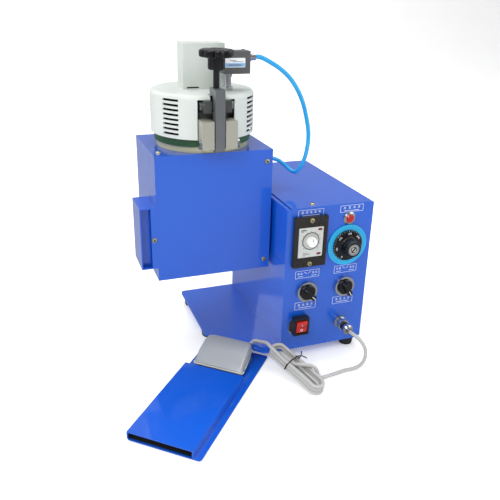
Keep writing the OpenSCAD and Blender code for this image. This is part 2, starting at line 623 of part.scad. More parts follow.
// ---------- lid ----------
module lid_plate() color("#6f7370") difference() {
    union() {
        rod_z(pot_r + 4, pot_top + lid_gap, lid_top, pot_x, pot_y);
        for (s = [-1, 1]) {
            x = s < 0 ? pot_x - lug_out : pot_x + lug_gap;
            w = lug_out - lug_gap;
            span([x, pin_y + 2.5, lid_top + 1], [x + w, pin_y + 36, lug_pin_z + 7.8]);
            span([x, pot_y - pot_r, pot_top + 2], [x + w, pin_y + 36, lid_top + 2]);
        }
        span([pot_x - 7, pot_y + 40, pot_top + 2], [pot_x + 7, hinge_y + hinge_r, lid_top]);
        span([pot_x - 7, hinge_y, hinge_z], [pot_x + 7, hinge_y + hinge_r, lid_top]);
        rod_x(hinge_r, pot_x - 9, pot_x + 9, hinge_y, hinge_z);
    }
    rod_x(pin_r + run_gap, pot_x - 20, pot_x + 20, lug_pin_y, lug_pin_z);
    rod_x(2.5 + run_gap, pot_x - 20, pot_x + 20, hinge_y, hinge_z);
    rod_z(pipe_r + run_gap, pot_top - 1, lid_top + 1, pipe_x, pipe_y);
}
module lid_hinge_pin() color(steel) union() {
    rod_x(2.5, pot_x - 17.5, pot_x + 20, hinge_y, hinge_z);
    rod_x(4, pot_x - 19.5, pot_x - 17.2, hinge_y, hinge_z);
}
module lug_pin() color(steel) union() {
    rod_x(pin_r, pot_x - lug_out - 1, pot_x + lug_out + 1, lug_pin_y, lug_pin_z);
    for (s = [-1, 1]) rod_x(5.5, pot_x + (s < 0 ? -lug_out - 4 : lug_out + 0.1),
        pot_x + (s < 0 ? -lug_out - 0.1 : lug_out + 4), lug_pin_y, lug_pin_z);
}

cut_half = 24.2;
round_r = 6;
vent_step = 360 / 7;
vent_half = 10.2;
vent_pitch = 6;
vent_z = 4.2;
post_r = 4;
module guard_cover() color("#eef1f0") translate([pot_x, pot_y, guard_z]) difference() {
    union() {
        rotate_extrude() difference() {
            union() {
                square([guard_r - round_r, guard_h]);
                square([guard_r, guard_h - round_r]);
                translate([guard_r - round_r, guard_h - round_r]) circle(r = round_r);
            }
            translate([-1, -1]) square([guard_r - guard_t + 1, guard_h - guard_t - 0.5 + 1]);
        }
        for (a = [0, 90, 180, 225]) rotate(a) translate([42, 0, lid_top - guard_z])
            cylinder(r = post_r, h = guard_top - lid_top - 1);
    }
    translate([-cut_half, -guard_r - 1, -1]) cube([2 * cut_half, 30, guard_h - 4]);
    translate([-arm_w / 2 - 2.25, -guard_r - 1, guard_h - 8]) cube([arm_w + 4.5, 17.5, 10]);
    translate([-8, guard_r - 10, -1]) cube([16, 20, lid_top - guard_z + 2]);
    translate([pipe_x - pot_x, pipe_y - pot_y, guard_h - 5]) cylinder(r = pipe_r + 0.3, h = 10);
    for (k = [1:6]) rotate(-90 + k * vent_step) for (i = [0:vent_rows - 1]) translate([0, 0, vent_z + i * vent_pitch])
        rotate(-vent_half) rotate_extrude(angle = 2 * vent_half) translate([guard_r - guard_t - 1, 0])
            square([guard_t + 3, vent_h]);
}

riser_y = pot_y - 11;
riser_t = 2;
module riser_box() color("#eef1f0") translate([pot_x - riser_w / 2, riser_y, guard_top]) difference() {
    cube([riser_w, riser_d, riser_h]);
    translate([riser_t, riser_t, -1]) cube([riser_w - 2 * riser_t, riser_d - 2 * riser_t, riser_h - riser_t + 1]);
    translate([5, -1, 0.8]) cube([16, riser_t + 2, 2]);
}
module air_block() color("#85837e") difference() {
    span([block_x, block_y, air_z], [block_x + block_w, block_y + 20, air_z + air_h]);
    rod_z(pipe_r + run_gap, air_z - 1, air_z + 6, pipe_x, pipe_y);
    rod_x(3, block_x + 10, block_x + block_w + 1, pipe_y, hose_z);
}
module air_pipe() color("#d5d7d8") difference() {
    union() {
        rod_z(pipe_r, pot_top + lid_gap, air_z + 5.9, pipe_x, pipe_y);
        rod_z(6, air_z - 4, air_z, pipe_x, pipe_y);
    }
    rod_z(2.5, pot_top - 1, air_z + 10, pipe_x, pipe_y);
}
fit_x = block_x + block_w;
module lid_fitting() color("#b9b3a2") translate([fit_x, pipe_y, hose_z]) rotate([0, 90, 0]) rotate_extrude()
    polygon([[1.5, -8], [3, -8], [3, 0], [5.5, 0], [5.5, 4], [4.6, 5], [4.6, 10], [1.5, 10]]);
module hose_fitting() color("#b9b3a2") translate([-head_gap, wall_hose_y, wall_hose_z]) rotate([0, 90, 0])
    difference() {
        union() {
            translate([0, 0, -10]) cylinder(r = 5, h = 12);
            cylinder(r = 7, h = 5);
            translate([0, 0, -sheet - 4]) cylinder(r = 7.5, h = 4);
            cylinder(r = 5, h = 12.8);
        }
        translate([0, 0, -11]) cylinder(r = 1.5, h = 30);
    }
module air_hose() color("#36b0e0") sweep_tube(smooth(hose_route, 2), hose_r);

// ---------- foot switch ----------
module pedal_tray() color(blue) in_tray() union() {
    hull() for (x = [tray_corner, tray_w - tray_corner]) for (y = [-tray_len + tray_corner, -tray_corner])
        translate([x, y, 0]) cylinder(r = tray_corner, h = sheet, $fn = 24);
    difference() {
        span([0.5, -tray_len + 0.5, sheet - eps], [heel_w, heel_y1, heel_h]);
        span([0.5 + sheet, -tray_len, sheet], [heel_w - sheet, heel_y1 - sheet, heel_h - sheet]);
    }
}
module pedal_base() color("#9a9fa4") in_tray() difference() {
    union() {
        span([pedal_x0 + pedal_skin + 0.5, pedal_y0 + 3.5, sheet], [pedal_x1 - pedal_skin - 0.5, pedal_y1 - 1, sheet + 3]);
        for (x = [pedal_x0 + pedal_skin + 0.5, pedal_x1 - pedal_skin - 5.5])
            span([x, pedal_y0 + 4.5, sheet], [x + 5, pedal_y0 + 10, tread_pin_z + 2]);
        span([pedal_x0 + 6, pedal_y1 - 3, sheet], [pedal_x1 - 4, pedal_y1 - 1, gland_z + 3.1]);
    }
    rod_x(tread_pin_r + run_gap, pedal_x0, pedal_x1, tread_pin_y, tread_pin_z);
    rod_y(2.6, pedal_y1 - 6, pedal_y1 + 1, gland_x, gland_z);
}
module pedal_treadle() color("#abb0b5") in_tray() difference() {
    translate([pedal_x0, 0, 0]) rotate([90, 0, 90]) linear_extrude(pedal_w)
        polygon([[pedal_y0, lip_z], [pedal_y0, pedal_front], [pedal_y1, pedal_rear],
            [pedal_y1, 19.5], [pedal_y0 + 6, lip_z - 1]]);
    translate([pedal_x0 + pedal_skin, 0, 0]) rotate([90, 0, 90]) linear_extrude(pedal_w - 2 * pedal_skin)
        polygon([[pedal_y0 + 2.6, 0], [pedal_y0 + 2.6, tread_z(pedal_y0 + 2.6) - 2.5],
            [pedal_y1 + 1, tread_z(pedal_y1 + 1) - 2.5], [pedal_y1 + 1, 0]]);
    rod_x(tread_pin_r + run_gap, pedal_x0 - 1, pedal_x1 + 1, tread_pin_y, tread_pin_z);
}
module pedal_pin() color(steel) in_tray()
    rod_x(tread_pin_r, pedal_x0 + 0.5, pedal_x1 + 0.6, tread_pin_y, tread_pin_z);
turns = 5;
spring_r = 5;
wire_r = 0.7;
spring_z0 = sheet + 3 + wire_r + 0.05;
spring_h = tread_z(spring_y - spring_r - wire_r) - 2.6 - wire_r - spring_z0;
module pedal_spring() color(steel) in_tray() translate([(pedal_x0 + pedal_x1) / 2, spring_y, spring_z0])
    sweep_tube([for (i = [0:turns * 10]) [spring_r * cos(36 * i), spring_r * sin(36 * i),
        spring_h * i / (turns * 10)]], wire_r, 6);
module pedal_switch() color("#202226") in_tray() difference() {
    union() {
        span([26, pedal_y0 + 14, sheet + 3], [36, pedal_y1 - 8, tread_z(pedal_y0 + 14) - 5]);
        span([29, pedal_y0 + 16, sheet + 6], [33, pedal_y0 + 20, tread_z(pedal_y0 + 16) - 3.6]);
    }
    for (y = [pedal_y0 + 17, pedal_y1 - 11]) rod_x(1.2, 25, 37, y, sheet + 5.5);
}
module cable_gland() color("#2a2b2e") in_tray() translate([gland_x, pedal_y1 - 1, gland_z]) rotate([-90, 0, 0])
    rotate_extrude() polygon([[0, -3.5], [2.5, -3.5], [2.5, 0], [3.6, 0], [3.6, 2], [3, 2.4], [2.9, gland_len],
        [0, gland_len]]);

placed() base_plate();
placed() rubber_feet();
placed() box_shell();
placed() front_panel();
placed() top_cover();
placed() panel_screws();
placed() timer_frame();
placed() timer_unit();
placed() timer_knob();
placed() lamp_bezel();
placed() lamp_lens();
placed() thermostat_ring();
placed() thermostat_body();
placed() thermostat_knob();
placed() left_selector_body();
placed() right_selector_body();
placed() left_selector_knob();
placed() right_selector_knob();
placed() rocker_bezel();
placed() rocker_housing();
placed() rocker_button();
placed() foot_socket();
placed() foot_plug();
placed() foot_cable();
placed() cable_hank();
placed() power_inlet();
placed() air_inlet();
placed() solenoid_valve();
placed() head_shell();
placed() head_front_cover();
placed() head_top_plate();
placed() side_channel();
placed() head_spacers();
placed() glue_pot();
placed() heater_band();
placed() pot_collar();
placed() base_ring();
placed() glue_nozzle();
placed() clamp_pin();
placed() clamp_arm();
placed() screw_pad();
placed() clamp_screw();
placed() clamp_knob();
placed() lid_plate();
placed() lug_pin();
placed() guard_cover();
placed() riser_box();
placed() air_block();
placed() air_pipe();
placed() lid_fitting();
placed() hose_fitting();
placed() air_hose();
placed() lid_hinge_pin();
placed() pedal_tray();
placed() pedal_base();
placed() pedal_treadle();
placed() pedal_pin();
placed() pedal_spring();
placed() pedal_switch();
placed() cable_gland();
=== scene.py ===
"""Looks of a bench-top hot melt glue dispenser, built around its CAD frame.

The pieces that the frame gives are painted with procedural materials.  Cords,
the star knob, dials, labels, ribs and small hardware are modelled here from
grids of points.  Metres throughout, in the frame's own axes.
"""

import logging
import math
from dataclasses import dataclass
from enum import Enum
from typing import Callable, Iterable, Sequence

import bmesh
import bpy
import numpy as np
from mathutils import Matrix, Vector

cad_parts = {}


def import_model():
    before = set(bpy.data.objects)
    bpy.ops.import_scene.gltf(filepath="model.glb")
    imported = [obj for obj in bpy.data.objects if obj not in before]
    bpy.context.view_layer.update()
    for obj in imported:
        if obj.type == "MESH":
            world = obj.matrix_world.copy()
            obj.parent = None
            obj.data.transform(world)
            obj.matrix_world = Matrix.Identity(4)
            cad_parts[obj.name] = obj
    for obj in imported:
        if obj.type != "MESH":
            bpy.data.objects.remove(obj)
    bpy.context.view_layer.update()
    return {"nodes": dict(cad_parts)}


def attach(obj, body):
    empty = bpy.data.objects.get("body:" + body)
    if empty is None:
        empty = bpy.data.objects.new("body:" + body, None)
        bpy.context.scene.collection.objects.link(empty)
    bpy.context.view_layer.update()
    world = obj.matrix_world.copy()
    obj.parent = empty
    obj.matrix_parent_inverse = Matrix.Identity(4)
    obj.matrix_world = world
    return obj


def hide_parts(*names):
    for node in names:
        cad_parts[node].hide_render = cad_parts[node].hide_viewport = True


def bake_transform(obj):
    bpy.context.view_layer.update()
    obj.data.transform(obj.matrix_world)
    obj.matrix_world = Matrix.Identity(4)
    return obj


LOG = logging.getLogger("glue_dispenser")
MM = 0.001

# The machine frame's origin (front left bottom corner of the control box on
# top of the base plate) in the row frame, in millimetres.
SHIFT = np.array([54.281310, -38.128333, 18.0])

# Where the foot switch tray's rear left corner stands, and how far it is turned.
TRAY_AT = (-88.0, 76.0, -18.0)
TRAY_TURN = math.radians(41)

UP = Vector((0, 0, 1))
OUT = Vector((0, -1, 0))


def at(x: float, y: float, z: float) -> Vector:
    """Place a point of the machine frame in the row frame.

    Args:
        x: Millimetres to the right of the control box's left side.
        y: Millimetres behind the control panel.
        z: Millimetres above the base plate.

    Returns:
        The point in metres.
    """
    return Vector((np.array([x, y, z]) + SHIFT) * MM)


def tray(x: float, y: float, z: float) -> Vector:
    """Place a point of the foot switch tray in the row frame.

    Args:
        x: Millimetres across the tray from its left edge.
        y: Millimetres along it, zero at the rear edge.
        z: Millimetres above the floor.

    Returns:
        The point in metres.
    """
    s, c = math.sin(TRAY_TURN), math.cos(TRAY_TURN)
    return at(TRAY_AT[0] + x * c + y * s, TRAY_AT[1] - x * s + y * c, TRAY_AT[2] + z)


def linear(code: str) -> tuple[float, float, float, float]:
    """Turn a hex sRGB colour into linear values with alpha."""
    out = []
    for i in (1, 3, 5):
        v = int(code[i : i + 2], 16) / 255
        out.append(v / 12.92 if v <= 0.04045 else ((v + 0.055) / 1.055) ** 2.4)
    return (out[0], out[1], out[2], 1.0)


# --------------------------------------------------------------- materials


class Grain(Enum):
    """What the fine relief of a finish comes from."""

    NONE = "none"
    ORANGE_PEEL = "orange peel"
    CAST = "cast"
    BRUSHED = "brushed"
    MOULDED = "moulded"
    RUBBER = "rubber"


@dataclass(frozen=True)
class Finish:
    """A surface finish.

    Attributes:
        name: The process and the stock it is put on.
        color: Hex sRGB colour.
        rough: Roughness of the clean surface.
        metal: Metallic share.
        grain: Kind of fine relief.
        tint: Hex sRGB of the second tone the colour drifts to.
        drift: Share of the second tone at its strongest.
        coat: Weight of a clear coat.
        coat_rough: Roughness of the clear coat.
        coat_ior: Refractive index of the clear coat.
        dim_in_mirrors: Whether glossy faces see it in a darker tone, as if it ended nearby.
        glow: Strength of its own white light.
    """

    name: str
    color: str
    rough: float
    metal: float = 0.0
    grain: Grain = Grain.NONE
    tint: str = ""
    drift: float = 0.25
    coat: float = 0.0
    coat_rough: float = 0.09
    coat_ior: float = 1.5
    dim_in_mirrors: bool = False
    glow: float = 0.0


class Materials:
    """Builds and keeps one node material per finish."""

    SCALES = {
        Grain.ORANGE_PEEL: (900.0, 0.02),
        Grain.CAST: (650.0, 0.22),
        Grain.BRUSHED: (300.0, 0.06),
        Grain.MOULDED: (1500.0, 0.05),
        Grain.RUBBER: (1100.0, 0.12),
    }
    DRIFT_NOISE = (9.0, 3.0)
    DRIFT_EDGES = (0.38, 0.68)
    WEAR_NOISE = (60.0, 5.0)
    MIRROR_TONE = "#6a6c70"

    def __init__(self) -> None:
        self._made: dict[str, bpy.types.Material] = {}

    def get(self, finish: Finish) -> bpy.types.Material:
        """Return the material of a finish, making it the first time."""
        if finish.name not in self._made:
            self._made[finish.name] = self._build(finish)
        return self._made[finish.name]

    def _build(self, f: Finish) -> bpy.types.Material:
        """Wire one finish: drifting colour, uneven gloss, clear coat and fine relief."""
        mat = bpy.data.materials.new(f.name)
        mat.use_nodes = True
        nodes, links = mat.node_tree.nodes, mat.node_tree.links
        bsdf = nodes["Principled BSDF"]
        place = nodes.new("ShaderNodeTexCoord")
        drift = self._noise(nodes, links, place, *self.DRIFT_NOISE)
        ramp = self._ramp(nodes, links, drift.outputs["Fac"], *self.DRIFT_EDGES)
        mix = nodes.new("ShaderNodeMix")
        mix.data_type = "RGBA"
        mix.inputs["A"].default_value = linear(f.color)
        mix.inputs["B"].default_value = linear(f.tint or f.color)
        scale = nodes.new("ShaderNodeMath")
        scale.operation = "MULTIPLY"
        scale.inputs[1].default_value = f.drift
        links.new(ramp.outputs["Color"], scale.inputs[0])
        links.new(scale.outputs[0], mix.inputs["Factor"])
        links.new(mix.outputs["Result"], bsdf.inputs["Base Color"])
        if f.dim_in_mirrors:
            seen, shade = nodes.new("ShaderNodeLightPath"), nodes.new("ShaderNodeMix")
            shade.data_type = "RGBA"
            shade.inputs["A"].default_value = linear(f.color)
            shade.inputs["B"].default_value = linear(self.MIRROR_TONE)
            links.new(seen.outputs["Is Glossy Ray"], shade.inputs["Factor"])
            links.new(shade.outputs["Result"], bsdf.inputs["Base Color"])
        wear = self._noise(nodes, links, place, *self.WEAR_NOISE)
        spread = nodes.new("ShaderNodeMapRange")
        spread.inputs["From Min"].default_value = 0.3
        spread.inputs["From Max"].default_value = 0.7
        sheen = 0.02 if f.coat > 0.5 else 0.05
        spread.inputs["To Min"].default_value = max(0.04, f.rough - sheen)
        spread.inputs["To Max"].default_value = min(1.0, f.rough + sheen)
        links.new(wear.outputs["Fac"], spread.inputs["Value"])
        links.new(spread.outputs["Result"], bsdf.inputs["Roughness"])
        bsdf.inputs["Metallic"].default_value = f.metal
        bsdf.inputs["Coat Weight"].default_value = f.coat
        bsdf.inputs["Coat Roughness"].default_value = f.coat_rough
        bsdf.inputs["Coat IOR"].default_value = f.coat_ior
        if f.glow:
            bsdf.inputs["Emission Color"].default_value = (1.0, 1.0, 1.0, 1.0)
            bsdf.inputs["Emission Strength"].default_value = f.glow
        if f.grain is not Grain.NONE:
            size, depth = self.SCALES[f.grain]
            stretch = (1.0, 1.0, 14.0) if f.grain is Grain.BRUSHED else (1.0, 1.0, 1.0)
            fine = self._noise(nodes, links, place, size, 2.0, stretch)
            bump = nodes.new("ShaderNodeBump")
            bump.inputs["Strength"].default_value = depth
            bump.inputs["Distance"].default_value = 0.001
            links.new(fine.outputs["Fac"], bump.inputs["Height"])
            links.new(bump.outputs["Normal"], bsdf.inputs["Normal"])
        return mat

    @staticmethod
    def _noise(nodes: bpy.types.Nodes, links: bpy.types.NodeLinks, place: bpy.types.Node, scale: float,
               detail: float, stretch: tuple[float, float, float] = (1.0, 1.0, 1.0)) -> bpy.types.Node:
        """Add noise in the object's own space."""
        mapping = nodes.new("ShaderNodeMapping")
        mapping.inputs["Scale"].default_value = stretch
        links.new(place.outputs["Object"], mapping.inputs["Vector"])
        noise = nodes.new("ShaderNodeTexNoise")
        noise.inputs["Scale"].default_value = scale
        noise.inputs["Detail"].default_value = detail
        links.new(mapping.outputs["Vector"], noise.inputs["Vector"])
        return noise

    @staticmethod
    def _ramp(nodes: bpy.types.Nodes, links: bpy.types.NodeLinks, source: bpy.types.NodeSocket,
              low: float, high: float) -> bpy.types.Node:
        """Add a grey ramp between two levels."""
        ramp = nodes.new("ShaderNodeValToRGB")
        ramp.color_ramp.elements[0].position = low
        ramp.color_ramp.elements[1].position = high
        links.new(source, ramp.inputs["Fac"])
        return ramp


BLUE = Finish("gloss_enamel_on_steel_sheet", "#0258cf", 0.3, 0.0, Grain.NONE, "#025dd3", 0.3, 1.0,
              coat_rough=0.03, coat_ior=1.65)
GUARD = Finish("powder_coat_on_steel_guard", "#d9dfdb", 0.38, 0.0, Grain.ORANGE_PEEL, "#c9d1cc", 0.6, 0.15)
RUBBER = Finish("moulded_rubber_foot", "#1d1d20", 0.75, 0.0, Grain.RUBBER, "#2a2a2c", 0.5)
ZINC = Finish("yellow_zinc_on_screw", "#d9cfa2", 0.3, 0.85, Grain.BRUSHED, "#b9a878", 0.5)
BROWN = Finish("moulded_abs_timer_frame", "#221f1d", 0.3, 0.0, Grain.MOULDED, "#3b342f", 0.5)
WHITE = Finish("moulded_abs_timer_face", "#c6cac8", 0.4, 0.0, Grain.MOULDED, "#b8bdbb", 0.5)
IVORY = Finish("moulded_white_abs_knob", "#f4f5f4", 0.3, 0.0, Grain.MOULDED, "#e2e4e3", 0.5)
GREY_ABS = Finish("moulded_bakelite_body", "#bdbdb8", 0.55, 0.0, Grain.MOULDED, "#a9a9a3", 0.5)
BLACK = Finish("polished_phenolic_knob", "#08080a", 0.24, 0.0, Grain.MOULDED, "#101012", 0.5, 0.12)
BLACK_MATT = Finish("moulded_nylon_black", "#141416", 0.4, 0.0, Grain.MOULDED, "#202024", 0.5)
RED = Finish("moulded_red_acrylic", "#a80f12", 0.1, 0.0, Grain.NONE, "#e8372a", 0.6, 0.6)
RED_DARK = Finish("dark_red_led_window", "#7a1026", 0.2, 0.0, Grain.NONE, "#5c0c1c", 0.5, 0.4)
NICKEL = Finish("nickel_plate_on_brass", "#cfd1d4", 0.18, 1.0, Grain.BRUSHED, "#b2b4b8", 0.5)
CYAN = Finish("printed_anodised_scale_plate", "#26b4ea", 0.3, 0.1, Grain.NONE, "#1fa4dc", 0.5, 0.3)
STEEL = Finish("turned_bright_steel", "#b6b8bc", 0.28, 1.0, Grain.BRUSHED, "#8f9296", 0.5)
DARK_STEEL = Finish("blackened_steel_screw", "#33363a", 0.34, 0.9, Grain.BRUSHED, "#4b4e52", 0.6)
ARM = Finish("hot_rolled_steel_bar", "#84878b", 0.4, 0.6, Grain.CAST, "#6c6f72", 0.6)
BRASS = Finish("turned_brass", "#c8a24c", 0.25, 1.0, Grain.BRUSHED, "#a98238", 0.5)
CABLE = Finish("extruded_grey_pvc_sheath", "#c3c3c1", 0.42, 0.0, Grain.MOULDED, "#b2b2b0", 0.5)
HOSE = Finish("extruded_blue_polyurethane_tube", "#1d9fdf", 0.18, 0.0, Grain.NONE, "#46bdf0", 0.5, 0.4)
CAST = Finish("sand_cast_aluminium", "#b7b8ad", 0.48, 0.4, Grain.CAST, "#b3ad9c", 0.7)
LID = Finish("cast_aluminium_lid", "#5d615f", 0.5, 0.5, Grain.CAST, "#4a4e4c", 0.7)
BAND = Finish("mica_band_heater_sheath", "#8f8a80", 0.45, 0.7, Grain.BRUSHED, "#77726a", 0.6)
GREEN = Finish("green_silicone_gasket", "#24502f", 0.45, 0.0, Grain.RUBBER, "#2f6a3e", 0.6)
CREAM = Finish("cream_silicone_ring", "#cbc9a6", 0.5, 0.0, Grain.RUBBER, "#b9b690", 0.6)
BLOCK = Finish("anodised_aluminium_block", "#6f7071", 0.42, 0.45, Grain.BRUSHED, "#5d5e5f", 0.5)
VALVE = Finish("overmoulded_valve_coil", "#50545a", 0.5, 0.0, Grain.MOULDED, "#44484d", 0.5)
PEDAL = Finish("hammered_grey_enamel", "#a3a8ae", 0.36, 0.15, Grain.CAST, "#949aa1", 0.5, 0.2)
# Cream rim of the treadle, also used for a painted highlight along its ridge.
PEDAL_RIM_AND_HIGHLIGHT = Finish("worn_cream_rim_and_painted_highlight", "#d5d2c4", 0.4, 0.0, Grain.CAST, "#c2beac", 0.5)
PRINT = Finish("white_screen_print", "#dfe6f4", 0.4, 0.0, Grain.NONE, "#cdd8ee", 0.6)
PRINT_BLACK = Finish("black_pad_print", "#222326", 0.5)
PRINT_GREY = Finish("grey_pad_print", "#6d7274", 0.5, 0.0, Grain.NONE, "#8b9092", 0.6)
# Flat black for painted shade: screw recesses, behind the guard's vents, inside the tray's channel, the cover
# gaps and the rocker's crease.
SHADE_BLACK = Finish("painted_shade_black", "#0b0c0c", 0.95, 0.0, Grain.RUBBER, "#151716", 0.6)
LABEL = Finish("printed_paper_label", "#f2f4f6", 0.4, 0.0, Grain.NONE, "#e4e8ec", 0.5)
LABEL_BLUE = Finish("printed_blue_label_band", "#7fb4e6", 0.4, 0.0, Grain.NONE, "#96c2ec", 0.5)
FLOOR = Finish("matt_white_paper_sweep", "#ffffff", 0.9, glow=0.2, dim_in_mirrors=True)

NODE_FINISH: dict[str, Finish] = {
    "base_plate": BLUE, "rubber_feet": RUBBER, "box_shell": BLUE, "front_panel": BLUE,
    "top_cover": BLUE, "panel_screws": ZINC, "timer_frame": BROWN, "timer_unit": WHITE,
    "timer_knob": IVORY, "lamp_bezel": NICKEL, "lamp_lens": RED, "thermostat_ring": CYAN,
    "thermostat_body": GREY_ABS, "thermostat_knob": BLACK, "left_selector_body": NICKEL,
    "right_selector_body": NICKEL, "left_selector_knob": BLACK, "right_selector_knob": BLACK,
    "rocker_bezel": NICKEL, "rocker_housing": BLACK_MATT, "rocker_button": RED,
    "foot_socket": NICKEL, "foot_plug": NICKEL, "foot_cable": CABLE, "cable_hank": CABLE,
    "power_inlet": BLACK_MATT, "air_inlet": BRASS, "solenoid_valve": VALVE,
    "head_shell": BLUE, "head_front_cover": BLUE, "head_top_plate": BLUE,
    "side_channel": BLUE, "head_spacers": STEEL, "glue_pot": CAST, "heater_band": BAND,
    "pot_collar": GREEN, "base_ring": CREAM, "glue_nozzle": BRASS, "clamp_pin": STEEL,
    "clamp_arm": ARM, "screw_pad": STEEL, "clamp_screw": DARK_STEEL, "clamp_knob": BLACK,
    "lid_plate": LID, "lug_pin": STEEL, "guard_cover": GUARD, "riser_box": GUARD,
    "air_block": BLOCK, "air_pipe": NICKEL, "lid_fitting": NICKEL, "hose_fitting": NICKEL,
    "air_hose": HOSE, "lid_hinge_pin": STEEL, "pedal_tray": BLUE, "pedal_base": PEDAL,
    "pedal_treadle": PEDAL, "pedal_pin": STEEL, "pedal_spring": STEEL,
    "pedal_switch": BLACK_MATT, "cable_gland": RUBBER,
}
BEVELS: dict[str, float] = {
    "base_plate": 0.8, "box_shell": 0.9, "front_panel": 0.7, "top_cover": 0.5,
    "timer_frame": 1.2, "thermostat_ring": 0.4, "thermostat_knob": 0.6, "rocker_housing": 0.8,
    "rocker_button": 0.8, "head_shell": 0.6, "head_front_cover": 0.6, "head_top_plate": 0.6,
    "side_channel": 0.7, "glue_pot": 1.0, "clamp_arm": 0.8, "lid_plate": 0.9, "riser_box": 2.2,
    "air_block": 0.8, "pedal_tray": 0.5, "pedal_base": 0.5, "pedal_treadle": 1.3,
    "pot_collar": 0.6, "base_ring": 0.8, "guard_cover": 0.45, "timer_knob": 0.8,
    "left_selector_knob": 0.7, "right_selector_knob": 0.7, "power_inlet": 0.6,
}
DIGITS = {"0": "abcdef", "1": "bc", "2": "abged", "3": "abgcd", "4": "fgbc", "5": "afgcd"}


# ------------------------------------------------------------------ meshes


class Meshes:
    """Makes finished mesh objects at the origin from grids and outlines."""

    @staticmethod
    def grid(name: str, points: np.ndarray, wrap_u: bool, wrap_v: bool,
             caps: bool = False) -> bpy.types.Object:
        """Skin a grid of points with quads.

        Args:
            name: Object name.
            points: Array of shape (rows, columns, 3), in metres.
            wrap_u: Whether the last row joins the first.
            wrap_v: Whether the last column joins the first.
            caps: Whether the first and last rows are closed.

        Returns:
            The new object.
        """
        nu, nv = points.shape[:2]
        index = np.arange(nu * nv).reshape(nu, nv)
        faces = []
        for i in range(nu if wrap_u else nu - 1):
            for j in range(nv if wrap_v else nv - 1):
                k, m = (i + 1) % nu, (j + 1) % nv
                faces.append((index[i, j], index[i, m], index[k, m], index[k, j]))
        if caps:
            faces.append(tuple(index[0][::-1]))
            faces.append(tuple(index[-1]))
        return Meshes.raw(name, points.reshape(-1, 3), faces)

    @staticmethod
    def raw(name: str, points: Iterable, faces: Iterable) -> bpy.types.Object:
        """Make an object from points and faces, normals outwards."""
        mesh = bpy.data.meshes.new(name)
        mesh.from_pydata([tuple(map(float, p)) for p in points], [], [tuple(map(int, f)) for f in faces])
        work = bmesh.new()
        work.from_mesh(mesh)
        bmesh.ops.recalc_face_normals(work, faces=work.faces)
        work.to_mesh(mesh)
        work.free()
        obj = bpy.data.objects.new(name, mesh)
        bpy.context.scene.collection.objects.link(obj)
        return obj

    @staticmethod
    def lathe(name: str, profile: Sequence[tuple[float, float]], base: Vector, axis: Vector, steps: int = 64,
              ripple: Callable[[np.ndarray, float], np.ndarray] | None = None) -> bpy.types.Object:
        """Turn a profile about an axis.

        Args:
            name: Object name.
            profile: Radius and distance along the axis, in millimetres.
            base: Point of the axis at distance zero, in metres.
            axis: Direction of the axis.
            steps: Number of points round.
            ripple: Optional change of radius from angle and radius.

        Returns:
            The new object, ends closed.
        """
        w = axis.normalized()
        u = Vector((0, 0, 1)) if abs(w.z) < 0.9 else Vector((0, 1, 0))
        u = (u - w * u.dot(w)).normalized()
        v = w.cross(u)
        t = np.linspace(0, 2 * np.pi, steps, endpoint=False)
        rows = []
        for r, h in profile:
            rr = np.full(steps, r) if ripple is None else ripple(t, r)
            rows.append(
                np.array(base)
                + MM * (rr * np.cos(t))[:, None] * np.array(u)
                + MM * (rr * np.sin(t))[:, None] * np.array(v)
                + MM * h * np.array(w)
            )
        return Meshes.grid(name, np.array(rows), False, True, True)

    @staticmethod
    def tube(name: str, path: np.ndarray, radius: float, sides: int = 16, closed: bool = False,
             caps: bool = True) -> bpy.types.Object:
        """Sweep a round tube along a path.

        Args:
            name: Object name.
            path: Points of the centre line, in metres.
            radius: Radius of the tube, in metres.
            sides: Number of sides round the tube.
            closed: Whether the path is a loop.
            caps: Whether the ends of an open tube are closed.

        Returns:
            The new object.
        """
        p = np.asarray(path, float)
        d = (np.roll(p, -1, 0) - np.roll(p, 1, 0)) if closed else np.gradient(p, axis=0)
        d /= np.linalg.norm(d, axis=1)[:, None]
        n = np.cross(d[0], [0, 0, 1.0] if abs(d[0][2]) < 0.9 else [1.0, 0, 0])
        n /= np.linalg.norm(n)
        t = np.linspace(0, 2 * np.pi, sides, endpoint=False)
        rows = []
        for q, k in zip(p, d):
            n = n - k * (n @ k)
            n /= np.linalg.norm(n)
            b = np.cross(k, n)
            rows.append(q + radius * (np.cos(t)[:, None] * n + np.sin(t)[:, None] * b))
        return Meshes.grid(name, np.array(rows), closed, True, caps and not closed)

    @staticmethod
    def prism(name: str, outline: Sequence[tuple[float, float]],
              place: Callable[[float, float, float], Vector], low: float, high: float) -> bpy.types.Object:
        """Extrude a closed outline.

        Args:
            name: Object name.
            outline: Corners in order, in millimetres.
            place: Turns across, up and depth into a point in metres.
            low: Depth of the first end.
            high: Depth of the second end.

        Returns:
            The new object, ends closed.
        """
        n = len(outline)
        pts = [place(a, b, low) for a, b in outline] + [place(a, b, high) for a, b in outline]
        faces = [(i, (i + 1) % n, n + (i + 1) % n, n + i) for i in range(n)]
        faces += [tuple(range(n))[::-1], tuple(range(n, 2 * n))]
        return Meshes.raw(name, pts, faces)

    @staticmethod
    def round_rect(w: float, h: float, r: float, steps: int = 5) -> list[tuple[float, float]]:
        """Outline of a rectangle with round corners, centred on zero."""
        out = []
        for cx, cy, a in ((w / 2 - r, h / 2 - r, 0), (-w / 2 + r, h / 2 - r, 90),
                          (-w / 2 + r, -h / 2 + r, 180), (w / 2 - r, -h / 2 + r, 270)):
            for k in range(steps + 1):
                t = math.radians(a + 90 * k / steps)
                out.append((cx + r * math.cos(t), cy + r * math.sin(t)))
        return out

